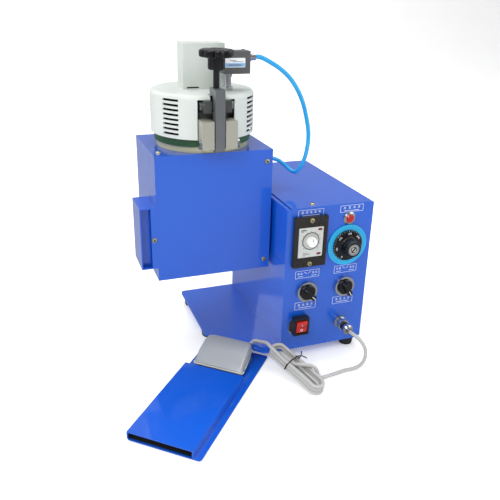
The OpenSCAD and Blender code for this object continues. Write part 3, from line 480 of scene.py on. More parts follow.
    @staticmethod
    def join(name: str, parts: Sequence[bpy.types.Object]) -> bpy.types.Object:
        """Join meshes of one material into one object."""
        work = bmesh.new()
        for o in parts:
            work.from_mesh(o.data)
            mesh = o.data
            bpy.data.objects.remove(o)
            bpy.data.meshes.remove(mesh)
        mesh = bpy.data.meshes.new(name)
        work.to_mesh(mesh)
        work.free()
        obj = bpy.data.objects.new(name, mesh)
        bpy.context.scene.collection.objects.link(obj)
        return obj


def curve_points(points: Sequence[Sequence[float]], steps: int) -> np.ndarray:
    """Catmull-Rom curve through points, the same number of steps each span."""
    p = np.array(points, float)
    a = np.vstack([p[0], p, p[-1]])
    t = np.linspace(0, 1, steps, endpoint=False)[:, None]
    out = []
    for i in range(len(p) - 1):
        b0, b1, b2, b3 = a[i], a[i + 1], a[i + 2], a[i + 3]
        out.append(0.5 * (2 * b1 + (b2 - b0) * t + (2 * b0 - 5 * b1 + 4 * b2 - b3) * t**2
                          + (3 * b1 - 3 * b2 + b3 - b0) * t**3))
    return np.vstack([*out, p[-1:]])


def even(path: np.ndarray, step: float) -> np.ndarray:
    """Space the points of a path evenly."""
    d = np.r_[0, np.cumsum(np.linalg.norm(np.diff(path, axis=0), axis=1))]
    n = max(2, int(round(d[-1] / step)) + 1)
    s = np.linspace(0, d[-1], n)
    return np.stack([np.interp(s, d, path[:, k]) for k in range(3)], axis=1)


# -------------------------------------------------------------- the object


@dataclass
class Trim:
    """Helpers shared by the classes that dress one region each.

    Attributes:
        nodes: Nodes of the CAD frame by name.
        paint: Keeper of the materials.
    """

    nodes: dict[str, bpy.types.Object]
    paint: Materials

    def add(self, obj: bpy.types.Object, finish: Finish, body: str | None = "frame", smooth: float = 40.0,
            bevel: float = 0.0) -> bpy.types.Object:
        """Finish a piece.

        Args:
            obj: The piece.
            finish: Its surface finish.
            body: Body of the frame that carries it, or None for a piece between two bodies, left unattached.
            smooth: Largest angle between faces that is shaded smooth, in degrees.
            bevel: Width of its rounded edges in millimetres, zero for none.

        Returns:
            The same piece.
        """
        obj.data.materials.clear()
        obj.data.materials.append(self.paint.get(finish))
        for poly in obj.data.polygons:
            poly.use_smooth = True
        if bevel:
            mod = obj.modifiers.new("edges", "BEVEL")
            mod.width = bevel * MM
            mod.segments = 2
            mod.limit_method = "ANGLE"
            mod.angle_limit = math.radians(38)
        obj.data.set_sharp_from_angle(angle=math.radians(smooth))
        if body:
            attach(obj, body)
        return obj

    def _plate(self, name: str, x: float, z: float, w: float, h: float, y0: float, y1: float, finish: Finish,
               corner: float = 0.4, turn: float = 0.0, body: str = "frame") -> bpy.types.Object:
        """Add one thin plate.

        Args:
            name: Object name.
            x: Centre across.
            z: Centre height.
            w: Width.
            h: Height.
            y0: Depth of its front.
            y1: Depth of its back.
            finish: Its surface finish.
            corner: Radius of its corners.
            turn: Degrees it is turned about its centre.
            body: Body that carries it.

        Returns:
            The new object.
        """
        c, k = math.cos(math.radians(turn)), math.sin(math.radians(turn))
        outline = Meshes.round_rect(w, h, min(corner, w / 2.01, h / 2.01), 3)
        obj = Meshes.prism(name, outline, lambda a, b, d: at(x + a * c - b * k, d, z + a * k + b * c), y0, y1)
        return self.add(obj, finish, body)

    def _parts(self, name: str, boxes: Sequence[tuple], finish: Finish,
               body: str = "frame") -> bpy.types.Object:
        """Join many small plates given by x, z, width, height, turn, y0 and y1."""
        made = []
        for n, (x, z, w, h, turn, y0, y1) in enumerate(boxes):
            c, k = math.cos(math.radians(turn)), math.sin(math.radians(turn))
            outline = [(w / 2, h / 2), (-w / 2, h / 2), (-w / 2, -h / 2), (w / 2, -h / 2)]

            def place(a: float, b: float, d: float, x=x, z=z, c=c, k=k) -> Vector:
                return at(x + a * c - b * k, d, z + a * k + b * c)

            made.append(Meshes.prism(f"{name}_{n}", outline, place, y0, y1))
        return self.add(Meshes.join(name, made), finish, body)

    def _ring(self, name: str, x: float, z: float, r1: float, r0: float, y0: float, y1: float, finish: Finish,
              body: str = "frame") -> bpy.types.Object:
        """Add a flat ring.

        Args:
            name: Object name.
            x: Centre across.
            z: Centre height.
            r1: Outer radius.
            r0: Inner radius.
            y0: Depth of its front.
            y1: Depth of its back.
            finish: Its surface finish.
            body: Body that carries it.

        Returns:
            The new object.
        """
        t = np.linspace(0, 2 * np.pi, 96, endpoint=False)
        rows = []
        for r, y in ((r0, y1), (r1, y1), (r1, y0), (r0, y0)):
            rows.append([at(x + r * math.cos(k), y, z + r * math.sin(k)) for k in t])
        return self.add(Meshes.grid(name, np.array(rows), True, True), finish, body)


@dataclass
class Casing(Trim):
    """The CAD pieces themselves, and the small marks on the box, head and tray."""

    def dress(self) -> None:
        """Paint every CAD node and round its edges."""
        for name, obj in self.nodes.items():
            obj.data.materials.clear()
            obj.data.materials.append(self.paint.get(NODE_FINISH[name]))
            if name in BEVELS:
                mod = obj.modifiers.new("edges", "BEVEL")
                mod.width = BEVELS[name] * MM
                mod.segments = 3
                mod.limit_method = "ANGLE"
                mod.angle_limit = math.radians(50)
                mod.harden_normals = False
                mod.use_clamp_overlap = True

    def screws(self) -> None:
        """Painted shade in the cross recesses of the pan head screws, as flat black crosses."""
        rows = []
        for x, z, y in ((34, 166.5 + 31.55, -6), (34, 166.5 - 31.55, -6), (-12, 125, 48), (-12, 268, 48),
                        (-168, 172, 48)):
            rows += [(x, z, 3.4, 0.7, 35, y - 2.55, y - 1.9), (x, z, 3.4, 0.7, 125, y - 2.55, y - 1.9)]
        self._parts("screw_recess_shade_front", rows, SHADE_BLACK)
        tops = []
        slot = [(1.7, 0.35), (-1.7, 0.35), (-1.7, -0.35), (1.7, -0.35)]
        for n, (x, y, z) in enumerate(((40, 9, 215), (-155, 66, 284))):
            for turn in (20, 110):
                c, k = math.cos(math.radians(turn)), math.sin(math.radians(turn))

                def place(a: float, b: float, d: float, x=x, y=y, c=c, k=k) -> Vector:
                    return at(x + a * c - b * k, y + a * k + b * c, d)

                tops.append(Meshes.prism(f"t{n}{turn}", slot, place, z + 1.9, z + 2.55))
        self.add(Meshes.join("screw_recess_shade_top", tops), SHADE_BLACK)

    def channel_shade(self) -> None:
        """Painted shade: black sheets lining the inside of the tray's raised channel."""
        low, high, left, right = 1.56, 10.44, 2.06, 86.44
        outline = [(left, low), (right, low), (right, high), (left, high)]
        sheets = []
        for n, (a, b) in enumerate(zip(outline, outline[1:] + outline[:1])):
            rows = [[tray(a[0], y, a[1]), tray(b[0], y, b[1])] for y in (-229.5, -82.0)]
            sheet = Meshes.grid(f"channel_shade_{n}", np.array(rows), False, False)
            thick = sheet.modifiers.new("paper", "SOLIDIFY")
            thick.thickness = 0.06 * MM
            thick.offset = 0
            sheets.append(sheet)
        for sheet in sheets:
            self.add(sheet, SHADE_BLACK)

    def box_seams(self) -> None:
        """Shadow gaps on both sides of the lift-off cover."""
        for n, x in enumerate((5.45, 124.05)):
            strip = Meshes.prism(f"cover_gap_{n}", [(x, 2), (x + 0.5, 2), (x + 0.5, 218), (x, 218)],
                                 lambda a, b, d: at(a, b, d), 213.5, 213.62)
            self.add(strip, SHADE_BLACK)


@dataclass
class Cords(Trim):
    """Foot switch cable with its hank and ties, and the air hose.  Sizes are in millimetres.

    Attributes:
        cable_radius: Radius of the cable.
        hose_radius: Radius of the hose.
        lie: Height of the cable's centre where it lies on the floor.
        hank_at: Front end of the hank.
        hank_yaw: Degrees the hank is turned on the floor.
        hank_lift: Degrees its rear end is raised.
    """

    cable_radius: float = 2.5
    hose_radius: float = 2.9
    lie: float = -15.25
    hank_at: tuple[float, float, float] = (16.5, -84.0, -7.8)
    hank_yaw: float = 20.0
    hank_lift: float = 11.0

    def cords(self) -> None:
        """Lay the foot switch cable with its hank, and the air hose."""
        start = [tray(74, -12.45, 22.5), tray(74, -7.5, 22.5), at(-33, 25.2, 4.6), at(-28.4, 25.2, 4.7),
                 at(-24.8, 18.4, 6.6), at(-22.8, 9, 11), at(-21.2, -1, 14.4)]
        hank = self._hank()
        lie = self.lie
        end = [(32.6, -64.6, -11.8), (36.4, -63.6, -14.6), (43, -62, lie), (54, -60.5, lie), (65, -59, lie),
               (75, -57, lie), (84, -57, lie), (92, -59, -13), (99, -61, -8), (104, -61, 0), (106, -59, 10),
               (104, -56, 19), (100, -51, 26), (96, -44, 30), (93.5, -37, 31), (93, -33.2, 31)]
        route = [*start, *hank, *[at(*p) for p in end]]
        path = even(curve_points(route, 6), 0.0022)
        flex = self.add(Meshes.tube("foot_switch_flex", path, self.cable_radius * MM, 14), CABLE)
        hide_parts("foot_cable", "cable_hank")
        ties = self._ties()
        self._hose()

    def _in_hank(self, x: float, y: float, z: float) -> Vector:
        """Place a point of the hank: across, along and through it."""
        yaw = Matrix.Rotation(math.radians(self.hank_yaw), 3, "Z")
        lift = Matrix.Rotation(math.radians(self.hank_lift), 3, "X")
        spot = np.array([x + 0.5 * math.sin(y / 14), y, z])
        return at(*(np.array(self.hank_at) + np.array(yaw @ lift) @ spot))

    def _hank(self) -> list[Vector]:
        """Wound turns of the hank: three down the outside, three up the inside."""
        run, wide, tight, step = 77.0, 9.3, 3.9, 5.3
        # across, height and rear end of each turn's left run, then the same for its right run
        lanes = [(wide, step, run), (wide, 0.0, run), (wide, -step, run), (tight, -step, run - 6.0),
                 (tight, 0.0, run - 12.0), (tight, step, run - 12.0)]
        bend = np.linspace(0.0, math.pi, 7)
        pts = [self._in_hank(-10.8, 80, 8.2)]
        for (r, z, _), (r_next, z_next, rear) in zip(lanes, lanes[1:]):
            pts += [self._in_hank(-r, run * f, z) for f in (0.78, 0.6, 0.38, 0.15)]
            pts += [self._in_hank(-r * math.cos(t), -r * math.sin(t), z) for t in bend]
            pts += [self._in_hank(r, run * f, z) for f in (0.15, 0.38, 0.6)]
            deep = 0.5 * (r + r_next)
            for t in bend:
                g = t / math.pi
                across = (r + (r_next - r) * g) * math.cos(t)
                pts.append(self._in_hank(across, rear + deep * math.sin(t), z + (z_next - z) * g))
        last = ((-3.9, 55, 5.4), (-3.6, 46, 5.7), (-3.0, 39, 6.9), (-0.6, 33, 10.2), (4, 27.5, 11.4),
                (9.2, 22.5, 11.4), (13, 19, 9.6), (17, 16, 4.0), (19.2, 14.4, -2.4))
        pts += [self._in_hank(*p) for p in last]
        return pts

    def _ties(self) -> list[bpy.types.Object]:
        """Add the black twist tie round the hank and return its pieces."""
        loop = []
        for t in np.linspace(0, 2 * np.pi, 40, endpoint=False):
            x = 12.4 * np.sign(np.cos(t)) * abs(np.cos(t)) ** 0.5
            z = 8.4 * np.sign(np.sin(t)) * abs(np.sin(t)) ** 0.5
            loop.append(self._in_hank(x, 47 + 2.0 * np.sin(t * 2), z))
        band = Meshes.tube("hank_tie", np.array(loop), 0.9 * MM, 8, closed=True)
        self.add(band, BLACK_MATT)
        tails = []
        for n, pts in enumerate((((6, 45, 8.6), (10, 44, 10.2), (15, 47, 11.6), (19, 51, 11.2)),
                                 ((6, 49, 8.6), (11, 47, 9.6), (16, 44, 9), (20, 40, 6.6)))):
            line = curve_points([self._in_hank(*p) for p in pts], 6)
            tail = Meshes.tube(f"hank_tie_tail_{n}", line, 0.8 * MM, 8)
            tails.append(self.add(tail, BLACK_MATT))
        return [band, *tails]

    def _hose(self) -> None:
        """Blue air hose from the lid's fitting to the box wall, attached to no body."""
        top = 284.0
        mid = [(2, 84, 107), (15, 81, 99), (28, 78, 87.5), (38, 74, 73), (46, 70, 55), (51, 66, 34),
               (53, 62, 16), (52, 60, -1), (50, 61, -16), (48, 65, -28), (46, 71, -38), (45, 79, -43.5),
               (43, 88, -44.5), (39, 95, -41), (33, 99, -35.5)]
        pts = [(-18.9, 86, 398), (-13.9, 86, 397.9), (-7.9, 86, 396), *[(x, y, z + top) for x, y, z in mid],
               (25.9, 100, 253.5), (17.9, 100, 256.5), (12.9, 100, 257), (8.9, 100, 257)]
        path = even(curve_points([at(*p) for p in pts], 8), 0.003)
        hose = self.add(Meshes.tube("air_hose_tube", path, self.hose_radius * MM, 18), HOSE, body=None)
        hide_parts("air_hose")
        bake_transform(hose)


@dataclass
class Head(Trim):
    """Clamp knob and screw, lid and its fittings.  Sizes are in millimetres.

    Attributes:
        pot_axis: Where the pot's axis stands.
        screw_axis: Where the clamp screw's axis stands.
    """

    pot_axis: tuple[float, float] = (-84.0, 111.0)
    screw_axis: tuple[float, float] = (-84.0, 46.0)

    def star_knob(self) -> None:
        """Fluted hub and lobed star of the clamp knob, and the thread of its screw."""
        def lobes(t: np.ndarray, r: float) -> np.ndarray:
            wave = np.abs(np.cos(4 * t + 0.35)) ** 0.55
            return r * (0.80 + 0.20 * wave) if r > 6 else np.full_like(t, r)

        def flutes(t: np.ndarray, r: float) -> np.ndarray:
            return r * (1 - 0.07 * (0.5 - 0.5 * np.cos(10 * t)) ** 2) if r > 8.5 else np.full_like(t, r)

        base = at(*self.screw_axis, 388)
        star = Meshes.lathe("star_head", [(4.2, 14.5), (19.4, 14.5), (21.1, 15.4), (21.5, 16.8), (21.5, 21.2),
                                          (20.9, 22.9), (18.8, 23.8), (12, 24.0), (7.4, 23.7), (6.2, 22.9),
                                          (4.2, 22.9)],
                            base, UP, 192, lobes)
        hub = Meshes.lathe("star_hub", [(4.2, 0), (9.6, 0), (10.3, 0.8), (10.5, 2), (10.5, 13), (11.6, 14.5),
                                        (4.2, 14.5)], base, UP, 160, flutes)
        knob = self.add(Meshes.join("clamp_star_knob", [star, hub]), BLACK, "screw", 32)
        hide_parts("clamp_knob")
        cap = Meshes.lathe("knob_stud_end", [(0, 22.7), (4.1, 22.7), (4.1, 23.2), (3.4, 23.7), (0, 23.7)],
                           base, UP, 40)
        self.add(cap, DARK_STEEL, "screw")
        turns = [(3.55 + 0.4 * abs(((h * 2) % 2) - 1), h * 0.625) for h in range(0, 54)]
        thread = Meshes.lathe("clamp_screw_thread", [(3.5, -0.2), *turns, (3.5, 34)],
                              at(*self.screw_axis, 355.8), UP, 40)
        thread = self.add(thread, DARK_STEEL, "screw")
        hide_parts("clamp_screw")

    def _arc(self, name: str, r0: float, r1: float, z0: float, z1: float, a0: float, a1: float,
             finish: Finish, body: str) -> bpy.types.Object:
        """Add a curved wall about the pot's axis.

        Args:
            name: Object name.
            r0: Inner radius.
            r1: Outer radius.
            z0: Lower edge.
            z1: Upper edge.
            a0: First angle, in degrees.
            a1: Last angle, in degrees.
            finish: Its surface finish.
            body: Body that carries it.

        Returns:
            The new object.
        """
        px, py = self.pot_axis
        t = np.radians(np.linspace(a0, a1, 40))
        rows = []
        for r, z in ((r0, z0), (r1, z0), (r1, z1), (r0, z1)):
            rows.append([at(px + r * math.cos(k), py + r * math.sin(k), z) for k in t])
        obj = Meshes.grid(name, np.array(rows), True, False)
        obj = self._cap_arc(obj, len(t))
        return self.add(obj, finish, body)

    @staticmethod
    def _cap_arc(obj: bpy.types.Object, n: int) -> bpy.types.Object:
        """Close the two ends of a curved wall."""
        work = bmesh.new()
        work.from_mesh(obj.data)
        work.verts.ensure_lookup_table()
        for j in (0, n - 1):
            work.faces.new([work.verts[i * n + j] for i in range(4)])
        bmesh.ops.recalc_face_normals(work, faces=work.faces)
        work.to_mesh(obj.data)
        work.free()
        return obj

    def lid(self) -> None:
        """Painted shade behind the guard's vents, valve label and pipe nuts."""
        # Black curved sheets inside the guard: painted shade seen through its vents.
        self._arc("vent_shade_right", 63.0, 64.5, 302.6, 351, -64, 82, SHADE_BLACK, "lid")
        self._arc("vent_shade_left", 63.0, 64.5, 302.6, 351, 98, 244, SHADE_BLACK, "lid")
        self._plate("valve_label", -49.5, 392, 27, 11.6, 75.72, 76, LABEL, 0.6, body="lid")
        self._parts("valve_label_band", [(-49.5, 389.2, 26, 4.6, 0, 75.6, 75.72)], LABEL_BLUE, "lid")
        rows = [(-52.5, 394.6, 9, 0.8, 0, 75.6, 75.72), (-46, 393.2, 14, 0.6, 0, 75.6, 75.72),
                (-49.5, 389.2, 17, 1.3, 0, 75.45, 75.6)]
        self._parts("valve_label_rows", rows, PRINT_GREY, "lid")
        hexa = [(5.2 * math.cos(a), 5.2 * math.sin(a)) for a in np.radians(np.arange(0, 360, 60))]
        nut = Meshes.prism("lid_fitting_hex", hexa, lambda a, b, d: at(d, 86 + a, 398 + b), -28.6, -24.4)
        self.add(nut, NICKEL, "lid", 20, 0.4)
        nut = Meshes.prism("pipe_nut", [(a * 1.45, b * 1.45) for a, b in hexa],
                           lambda a, b, d: at(-56.5 + a, 86 + b, d), 357.2, 361.6)
        self.add(nut, NICKEL, "lid", 20, 0.4)
        nut = Meshes.prism("wall_fitting_hex", [(a * 1.42, b * 1.42) for a, b in hexa],
                           lambda a, b, d: at(d, 100 + a, 257 + b), -3.6, 0.6)
        self.add(nut, NICKEL, "frame", 20, 0.4)
        for n, (x, y) in enumerate(((-59.5, 79.5), (-33.5, 79.5), (-59.5, 92.5), (-33.5, 92.5))):
            head = Meshes.lathe(f"valve_screw_{n}", [(0, 0), (2.2, 0), (2.2, 0.9), (1.8, 1.2), (0, 1.2)],
                                at(x, y, 406), UP, 24)
            self.add(head, STEEL, "lid")


@dataclass
class ControlPanel(Trim):
    """Dials, handles, rocker, plug and labels on the front of the box.  Sizes are in millimetres.

    Attributes:
        timer_at: Centre of the timer's dial.
        timer_frame_z: Centre height of the timer's frame.
        timer_front: Depth of the timer's face.
        dial_at: Centre of the thermostat's dial.
        selector_z: Centre height of both selectors.
        plug_at: Centre of the plug at the panel.
    """

    timer_at: tuple[float, float] = (34.0, 168.5)
    timer_frame_z: float = 166.5
    timer_front: float = -5.0
    dial_at: tuple[float, float] = (93.0, 154.0)
    selector_z: float = 90.0
    plug_at: tuple[float, float, float] = (93.0, 0.0, 31.0)

    def timer(self) -> None:
        """Dial, lamps and print of the timer's face, and the rim of its frame."""
        x, z = self.timer_at
        y = self.timer_front
        front = y - 0.75
        self._plate("timer_window_rim", x, self.timer_frame_z, 40.6, 47.6, y - 0.6, y - 0.05, BROWN, 1.0)
        self._plate("timer_face_plate", x, self.timer_frame_z, 36.2, 43.2, front, y - 0.6, WHITE, 0.8)
        self._ring("timer_dial_outer", x, z, 12.6, 11.6, y - 1.0, front, PRINT_BLACK)
        self._ring("timer_dial_disc", x, z, 11.4, 7.2, y - 1.1, front, GREY_ABS)
        ticks = []
        for k in range(11):
            a = math.radians(225 - 27 * k)
            ticks.append((x + 14.2 * math.cos(a), z + 13.8 * math.sin(a), 1.5, 0.45, math.degrees(a),
                          y - 0.9, front))
        self._parts("timer_dial_ticks", ticks, PRINT_BLACK)
        lamps = [(46.8, lamp_z, 5.6, 2.6, 0, y - 1.3, front) for lamp_z in (184.6, 148.8)]
        self._parts("timer_lamps", lamps, RED_DARK)
        words = ((22.6, 184.6, 8, 1.4), (20.6, 182.4, 3, 0.7), (27, 151.2, 7, 0.5), (29, 149.2, 11, 0.5),
                 (25, 147.6, 5, 0.5))
        self._parts("timer_print", [(*word, 0, y - 0.85, front) for word in words], PRINT_BLACK)
        knob = Meshes.lathe("timer_dial_knob", [(0, 5.2), (6.9, 5.2), (6.9, 11.6), (6.2, 13.4), (0, 13.8)],
                            at(x, 0, z), OUT, 72)
        knob = self.add(knob, IVORY, "timer_dial")
        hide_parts("timer_knob")
        self._parts("timer_knob_mark", [(x, z + 3.1, 0.7, 4.2, 0, -13.95, -13.4)], PRINT_GREY, "timer_dial")

    def thermostat(self) -> None:
        """Numbered skirt, grip knob and bright cap of the thermostat."""
        x, z = self.dial_at
        centre = at(x, 0, z)

        def grip(t: np.ndarray, r: float) -> np.ndarray:
            return r * (1 - 0.035 * (0.5 - 0.5 * np.cos(28 * t))) if 9.5 < r < 13 else np.full_like(t, r)

        profile = [(0, 2.4), (21.8, 2.4), (22.5, 2.9), (22.5, 4.0), (22, 4.5), (15, 6.2), (13.2, 6.8),
                   (12.4, 8), (11.7, 19.6), (10.9, 20.8), (8.6, 21), (8.4, 20.4), (0, 20.4)]
        knob = Meshes.lathe("thermostat_dial_knob", profile, centre, OUT, 224, grip)
        knob = self.add(knob, BLACK, "thermostat_dial", 30)
        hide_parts("thermostat_knob")
        self._ring("thermostat_cap_rim", x, z, 8.3, 5.9, -21.2, -20.3, NICKEL, "thermostat_dial")
        cap = Meshes.lathe("thermostat_cap", [(0, 20.4), (5.9, 20.4), (5.9, 20.7), (0, 20.8)],
                           centre, OUT, 48)
        self.add(cap, GREY_ABS, "thermostat_dial")
        self._ring("thermostat_cap_groove", x, z, 4.7, 3.6, -21.0, -20.6, BLACK, "thermostat_dial")
        self._parts("thermostat_cap_mark", [(x, z, 2.0, 9.4, -35, -21.15, -20.7)], BLACK, "thermostat_dial")
        marks, scale = [], []
        for k in range(31):
            a = math.radians(240 - 10 * k)
            r, length, width = (20.6, 2.6, 0.55) if k % 5 == 0 else (21.1, 1.5, 0.4)
            marks.append((x + r * math.cos(a), z + r * math.sin(a), length, width, math.degrees(a),
                          -4.75, -4.3))
        for k, word in enumerate(("0", "50", "100", "150", "200", "250", "300")):
            marks += self._digits(word, x, z, 17.4, 240 - 50 * k, 3.0, -5.75, -5.0)
        for k in range(61):
            a = math.radians(255 - 5 * k)
            length = 2.4 if k % 5 == 0 else 1.3
            reach = 27.6 - length / 2
            scale.append((x + reach * math.cos(a), z + reach * math.sin(a), length, 0.3, math.degrees(a),
                          -2.12, -2.0))
        self._parts("thermostat_numbers", marks, PRINT, "thermostat_dial")
        self._parts("thermostat_scale_ticks", scale, BLUE)

    @staticmethod
    def _digits(word: str, x: float, z: float, r: float, angle: float, size: float, y0: float,
                y1: float) -> list[tuple]:
        """Set one plain seven-bar number on a dial.

        Args:
            word: The digits.
            x: Centre of the dial across.
            z: Centre height of the dial.
            r: Distance of the number from the centre.
            angle: Direction of the number, in degrees.
            size: Height of a digit.
            y0: Depth of the front.
            y1: Depth of the back.

        Returns:
            Plates for _parts.
        """
        out = []
        for n, letter in enumerate(word):
            shift = (n - (len(word) - 1) / 2) * size * 0.72
            a = math.radians(angle)
            ux, uz = math.cos(a), math.sin(a)
            rx, rz = uz, -ux
            w, h = size * 0.42, size / 2
            bars = {"a": (0, h, 0), "b": (w / 2, h / 2, 1), "c": (w / 2, -h / 2, 1), "d": (0, -h, 0),
                    "e": (-w / 2, -h / 2, 1), "f": (-w / 2, h / 2, 1), "g": (0, 0, 0)}
            for bar in DIGITS.get(letter, "abcdefg"):
                bx, bz, upright = bars[bar]
                px = x + r * ux + (bx + shift) * rx + bz * ux
                pz = z + r * uz + (bx + shift) * rz + bz * uz
                turn = angle if upright else angle - 90
                out.append((px, pz, h if upright else w, 0.48, turn, y0, y1))
        return out

    def selectors(self) -> None:
        """Round base, tapered handle and index line of both selector switches."""
        z = self.selector_z
        for side, x, turn in (("left", 35, -45), ("right", 94, -60)):
            base = Meshes.lathe(f"{side}_base", [(0, 4.2), (11.4, 4.2), (11.4, 6.6), (10.6, 8.2), (0, 8.6)],
                                at(x, 0, z), OUT, 72)
            outline = [(-8.6, -3.0), (-9.4, 0), (-8.6, 3.0), (4, 4.2), (11.6, 4.0), (13.6, 2.4), (13.9, 0),
                       (13.6, -2.4), (11.6, -4.0), (4, -4.2)]
            c, k = math.cos(math.radians(turn)), math.sin(math.radians(turn))

            def place(a: float, b: float, d: float, x=x, c=c, k=k) -> Vector:
                f = 1.0 if d > -9 else 0.86
                return at(x + (a * c - b * k) * f, d, z + (a * k + b * c) * f)

            bar = Meshes.prism(f"{side}_bar", outline, place, -15.0, -8.2)
            handle = Meshes.join(f"{side}_selector_handle", [base, bar])
            knob = self.add(handle, BLACK, f"{side}_selector", 30, 0.5)
            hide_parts(f"{side}_selector_knob")
            self._plate(f"{side}_selector_index", x + 8.1 * c, z + 8.1 * k, 7.2, 1.3, -15.35, -14.9, WHITE,
                        0.5, turn, f"{side}_selector")
            self._ring(f"{side}_selector_rim", x, z, 15.2, 12.4, -4.9, -2.0, NICKEL)

    def rocker(self) -> None:
        """Two-faced red rocker and its index marks."""
        outline = [(-6.2, -9.0), (-11.3, -9.4), (-12.2, -5), (-12.4, -0.4), (-12.6, 0.2), (-13.9, 5.4),
                   (-14.6, 7.6), (-13.9, 8.7), (-9, 9.2), (-6.2, 9.0)]
        body = Meshes.prism("rocker_cap", outline, lambda a, b, d: at(d, a, 39 + b), 18.0, 34.0)
        body = self.add(body, RED, "rocker", 25, 0.5)
        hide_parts("rocker_button")
        self._parts("rocker_marks", [(26, 42.6, 0.7, 3.0, 0, -13.75, -13.0)], PRINT, "rocker")
        self._ring("rocker_mark_off", 26, 34.0, 1.9, 1.3, -12.45, -12.0, PRINT, "rocker")
        # Painted shade: a black strip along the crease between the rocker's two faces.
        self._parts("rocker_crease_shade", [(26, 38.9, 15.4, 0.5, 0, -12.75, -12.4)], SHADE_BLACK, "rocker")

    def plug(self) -> None:
        """Coupling ring, dark sleeve and clamp collar of the foot switch plug."""
        def knurl(t: np.ndarray, r: float) -> np.ndarray:
            return r * (1 - 0.03 * (0.5 - 0.5 * np.cos(30 * t))) if r > 8.0 else np.full_like(t, r)

        centre = at(*self.plug_at)
        ring = Meshes.lathe("plug_coupling", [(5, 9.2), (8.2, 9.2), (8.7, 9.8), (8.7, 13.2), (8.2, 14),
                                              (6.6, 14.2), (5, 14.2)], centre, OUT, 180, knurl)
        collar = Meshes.lathe("plug_collar", [(4, 22), (7.2, 22), (7.7, 22.6), (7.7, 26.4), (7.2, 27.2),
                                              (5.6, 28.6), (4.9, 31), (4.4, 33), (2.6, 33)], centre, OUT, 72)
        shell = self.add(Meshes.join("plug_metal_parts", [ring, collar]), NICKEL, "frame", 30)
        sleeve = Meshes.lathe("plug_sleeve", [(4, 14.2), (6.7, 14.2), (6.7, 22), (4, 22)], centre, OUT, 72)
        self.add(sleeve, BLACK_MATT, "frame", 30)
        rings = [Meshes.lathe(f"r{k}", [(7.9, 3.4 + 1.1 * k), (8.4, 3.7 + 1.1 * k), (8.4, 4.1 + 1.1 * k),
                                        (7.9, 4.4 + 1.1 * k)], centre, OUT, 64) for k in range(5)]
        self.add(Meshes.join("socket_thread", rings), NICKEL, "frame", 30)

    def labels(self) -> None:
        """Screen printed frames over the controls, with plain marks in them."""
        frames, marks = [], []
        for x, z, w, h, cells in ((34.5, 206.6, 37, 9.6, 5), (96, 207.4, 35, 9.4, 4), (35, 116.4, 36, 11, 0),
                                  (94.5, 116.6, 35, 11, 0), (35, 66.8, 32, 11.6, 4), (94.5, 67, 32, 11, 4)):
            y0, y1 = -0.1, 0.01
            for dx, dz, a, b in ((0, h / 2, w, 0.45), (0, -h / 2, w, 0.45), (-w / 2, 0, 0.5, h),
                                 (w / 2, 0, 0.5, h)):
                frames.append((x + dx, z + dz, a, b, 0, y0, y1))
            if cells:
                for k in range(cells):
                    cx = x + (k - (cells - 1) / 2) * (w - 6) / cells
                    marks += [(cx, z + 2.5, 3.0, 0.7, 0, y0, y1), (cx, z + 0.4, 3.4, 0.7, 0, y0, y1),
                              (cx, z + 1.4, 0.7, 3.0, 0, y0, y1)]
                marks.append((x, z - 2.9, w - 12, 0.7, 0, y0, y1))
            else:
                for sx in (-1, 1):
                    for k in range(2):
                        cx = x + sx * (w / 2 - 4.5 - 4.4 * k)
                        marks += [(cx, z + 2.3, 2.8, 0.6, 0, y0, y1), (cx, z + 0.5, 3.0, 0.6, 0, y0, y1),
                                  (cx, z + 1.3, 0.6, 2.6, 0, y0, y1)]
                    marks.append((x + sx * 10.5, z - 3, 8, 0.6, 0, y0, y1))
                    marks.append((x + sx * 3, z + 2.2, 5.4, 0.5, 35 * sx, y0, y1))
        self._parts("label_frames", frames, PRINT)
        self._parts("label_marks", marks, PRINT)


